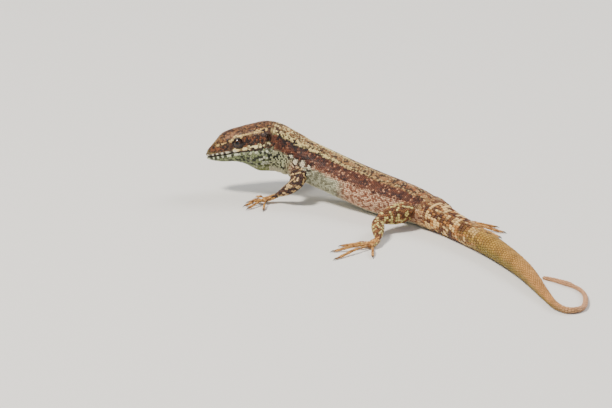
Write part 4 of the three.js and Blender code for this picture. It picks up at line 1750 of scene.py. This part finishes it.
hooks = bmesh.new()
horn = hooks.verts.layers.float.new("horn")
for _, tip, way in tips:
    claw(hooks, tip, way)
bmesh.ops.recalc_face_normals(hooks, faces=hooks.faces)
claws = rounded("claws", mesh_of(hooks, "claws"))
claw_material, claw_shader, claw_paint = new_material("claw_horn", 0.3)
dark_end = (claw_paint.stored("horn") + claw_paint.fine_noise(6000.0, 3.0) * 0.3).step(0.3, 0.75)
dark_end.over(paint(122, 92, 62), paint(38, 26, 20)).feed(claw_shader, "Base Color")
claws.data.materials.append(claw_material)
finish(claws, "skin")
print("claws:", len(tips), "with", len(claws.data.polygons), "faces")

# %% [markdown]
# The light is a soft studio: one broad warm lamp high on the left, weaker ones opposite and
# behind, and a pale surround, which together let the low relief of the scales show. The
# floor is a wide plain sheet.

# %% Floor and light
room_floor = bmesh.new()
bmesh.ops.create_grid(room_floor, x_segments=1, y_segments=1, size=3.0)
floor = put("floor", mesh_of(room_floor, "floor"))
floor_material, floor_shader, _ = new_material("pale_floor", 0.7)
floor_shader.inputs["Base Color"].default_value = paint(226, 223, 217)
floor.data.materials.append(floor_material)

world = bpy.data.worlds.new("studio")
bpy.context.scene.world = world
world.use_nodes = True
sky = world.node_tree.nodes["Background"].inputs
sky["Color"].default_value = (0.86, 0.9, 1.0, 1.0)
sky["Strength"].default_value = 0.5
LIT_SPOT = Vector((-0.02, 0, 0))


def lamp(name, place, size, power, colour):
    """A square lamp that looks at the animal."""
    light = bpy.data.lights.new(name, "AREA")
    light.size, light.energy, light.color = size, power, colour
    obj = put(name, light)
    obj.location = place
    obj.rotation_euler = (Vector(place) - LIT_SPOT).to_track_quat("Z", "Y").to_euler()


# Name, place, size, power and colour.
lamp("key", (-0.15, -0.45, 0.85), 0.22, 15.0, (1.0, 0.95, 0.87))
lamp("fill", (0.6, -0.5, 0.35), 0.6, 1.5, (0.9, 0.94, 1.0))
lamp("back", (0.1, 0.7, 0.6), 0.4, 5.0, (1.0, 0.98, 0.95))
print("lamps:", len(bpy.data.lights))

# %% [markdown]
# The camera stands on the animal's left, towards its tail and a little above, where it sees
# the turned head, the left side and the back. It stands well back and looks through a long
# lens, so that the near parts don't look too large.

# %% Camera
CAMERA_AWAY = Vector((0.7068, -0.6364, 0.3090))     # from the animal to the camera
CAMERA_AIM = Vector((-0.0389, 0.0056, -0.0022))     # the place in the middle of the frame
CAMERA_FAR = 1.2
VIEW_WIDTH = 0.130       # what the frame spans at the animal's distance
SENSOR = 36.0
camera = bpy.data.cameras.new("camera")
camera.sensor_width = SENSOR
camera.lens = SENSOR * CAMERA_FAR / VIEW_WIDTH
camera.clip_start, camera.clip_end = 0.05, 20.0
camera_object = put("camera", camera)
camera_object.location = CAMERA_AIM + CAMERA_AWAY * CAMERA_FAR
camera_object.rotation_euler = CAMERA_AWAY.to_track_quat("Z", "Y").to_euler()
bpy.context.scene.camera = camera_object
print("camera at", [round(v, 3) for v in camera_object.location])

# %% [markdown]
# Scales add thickness and claws reach forward.
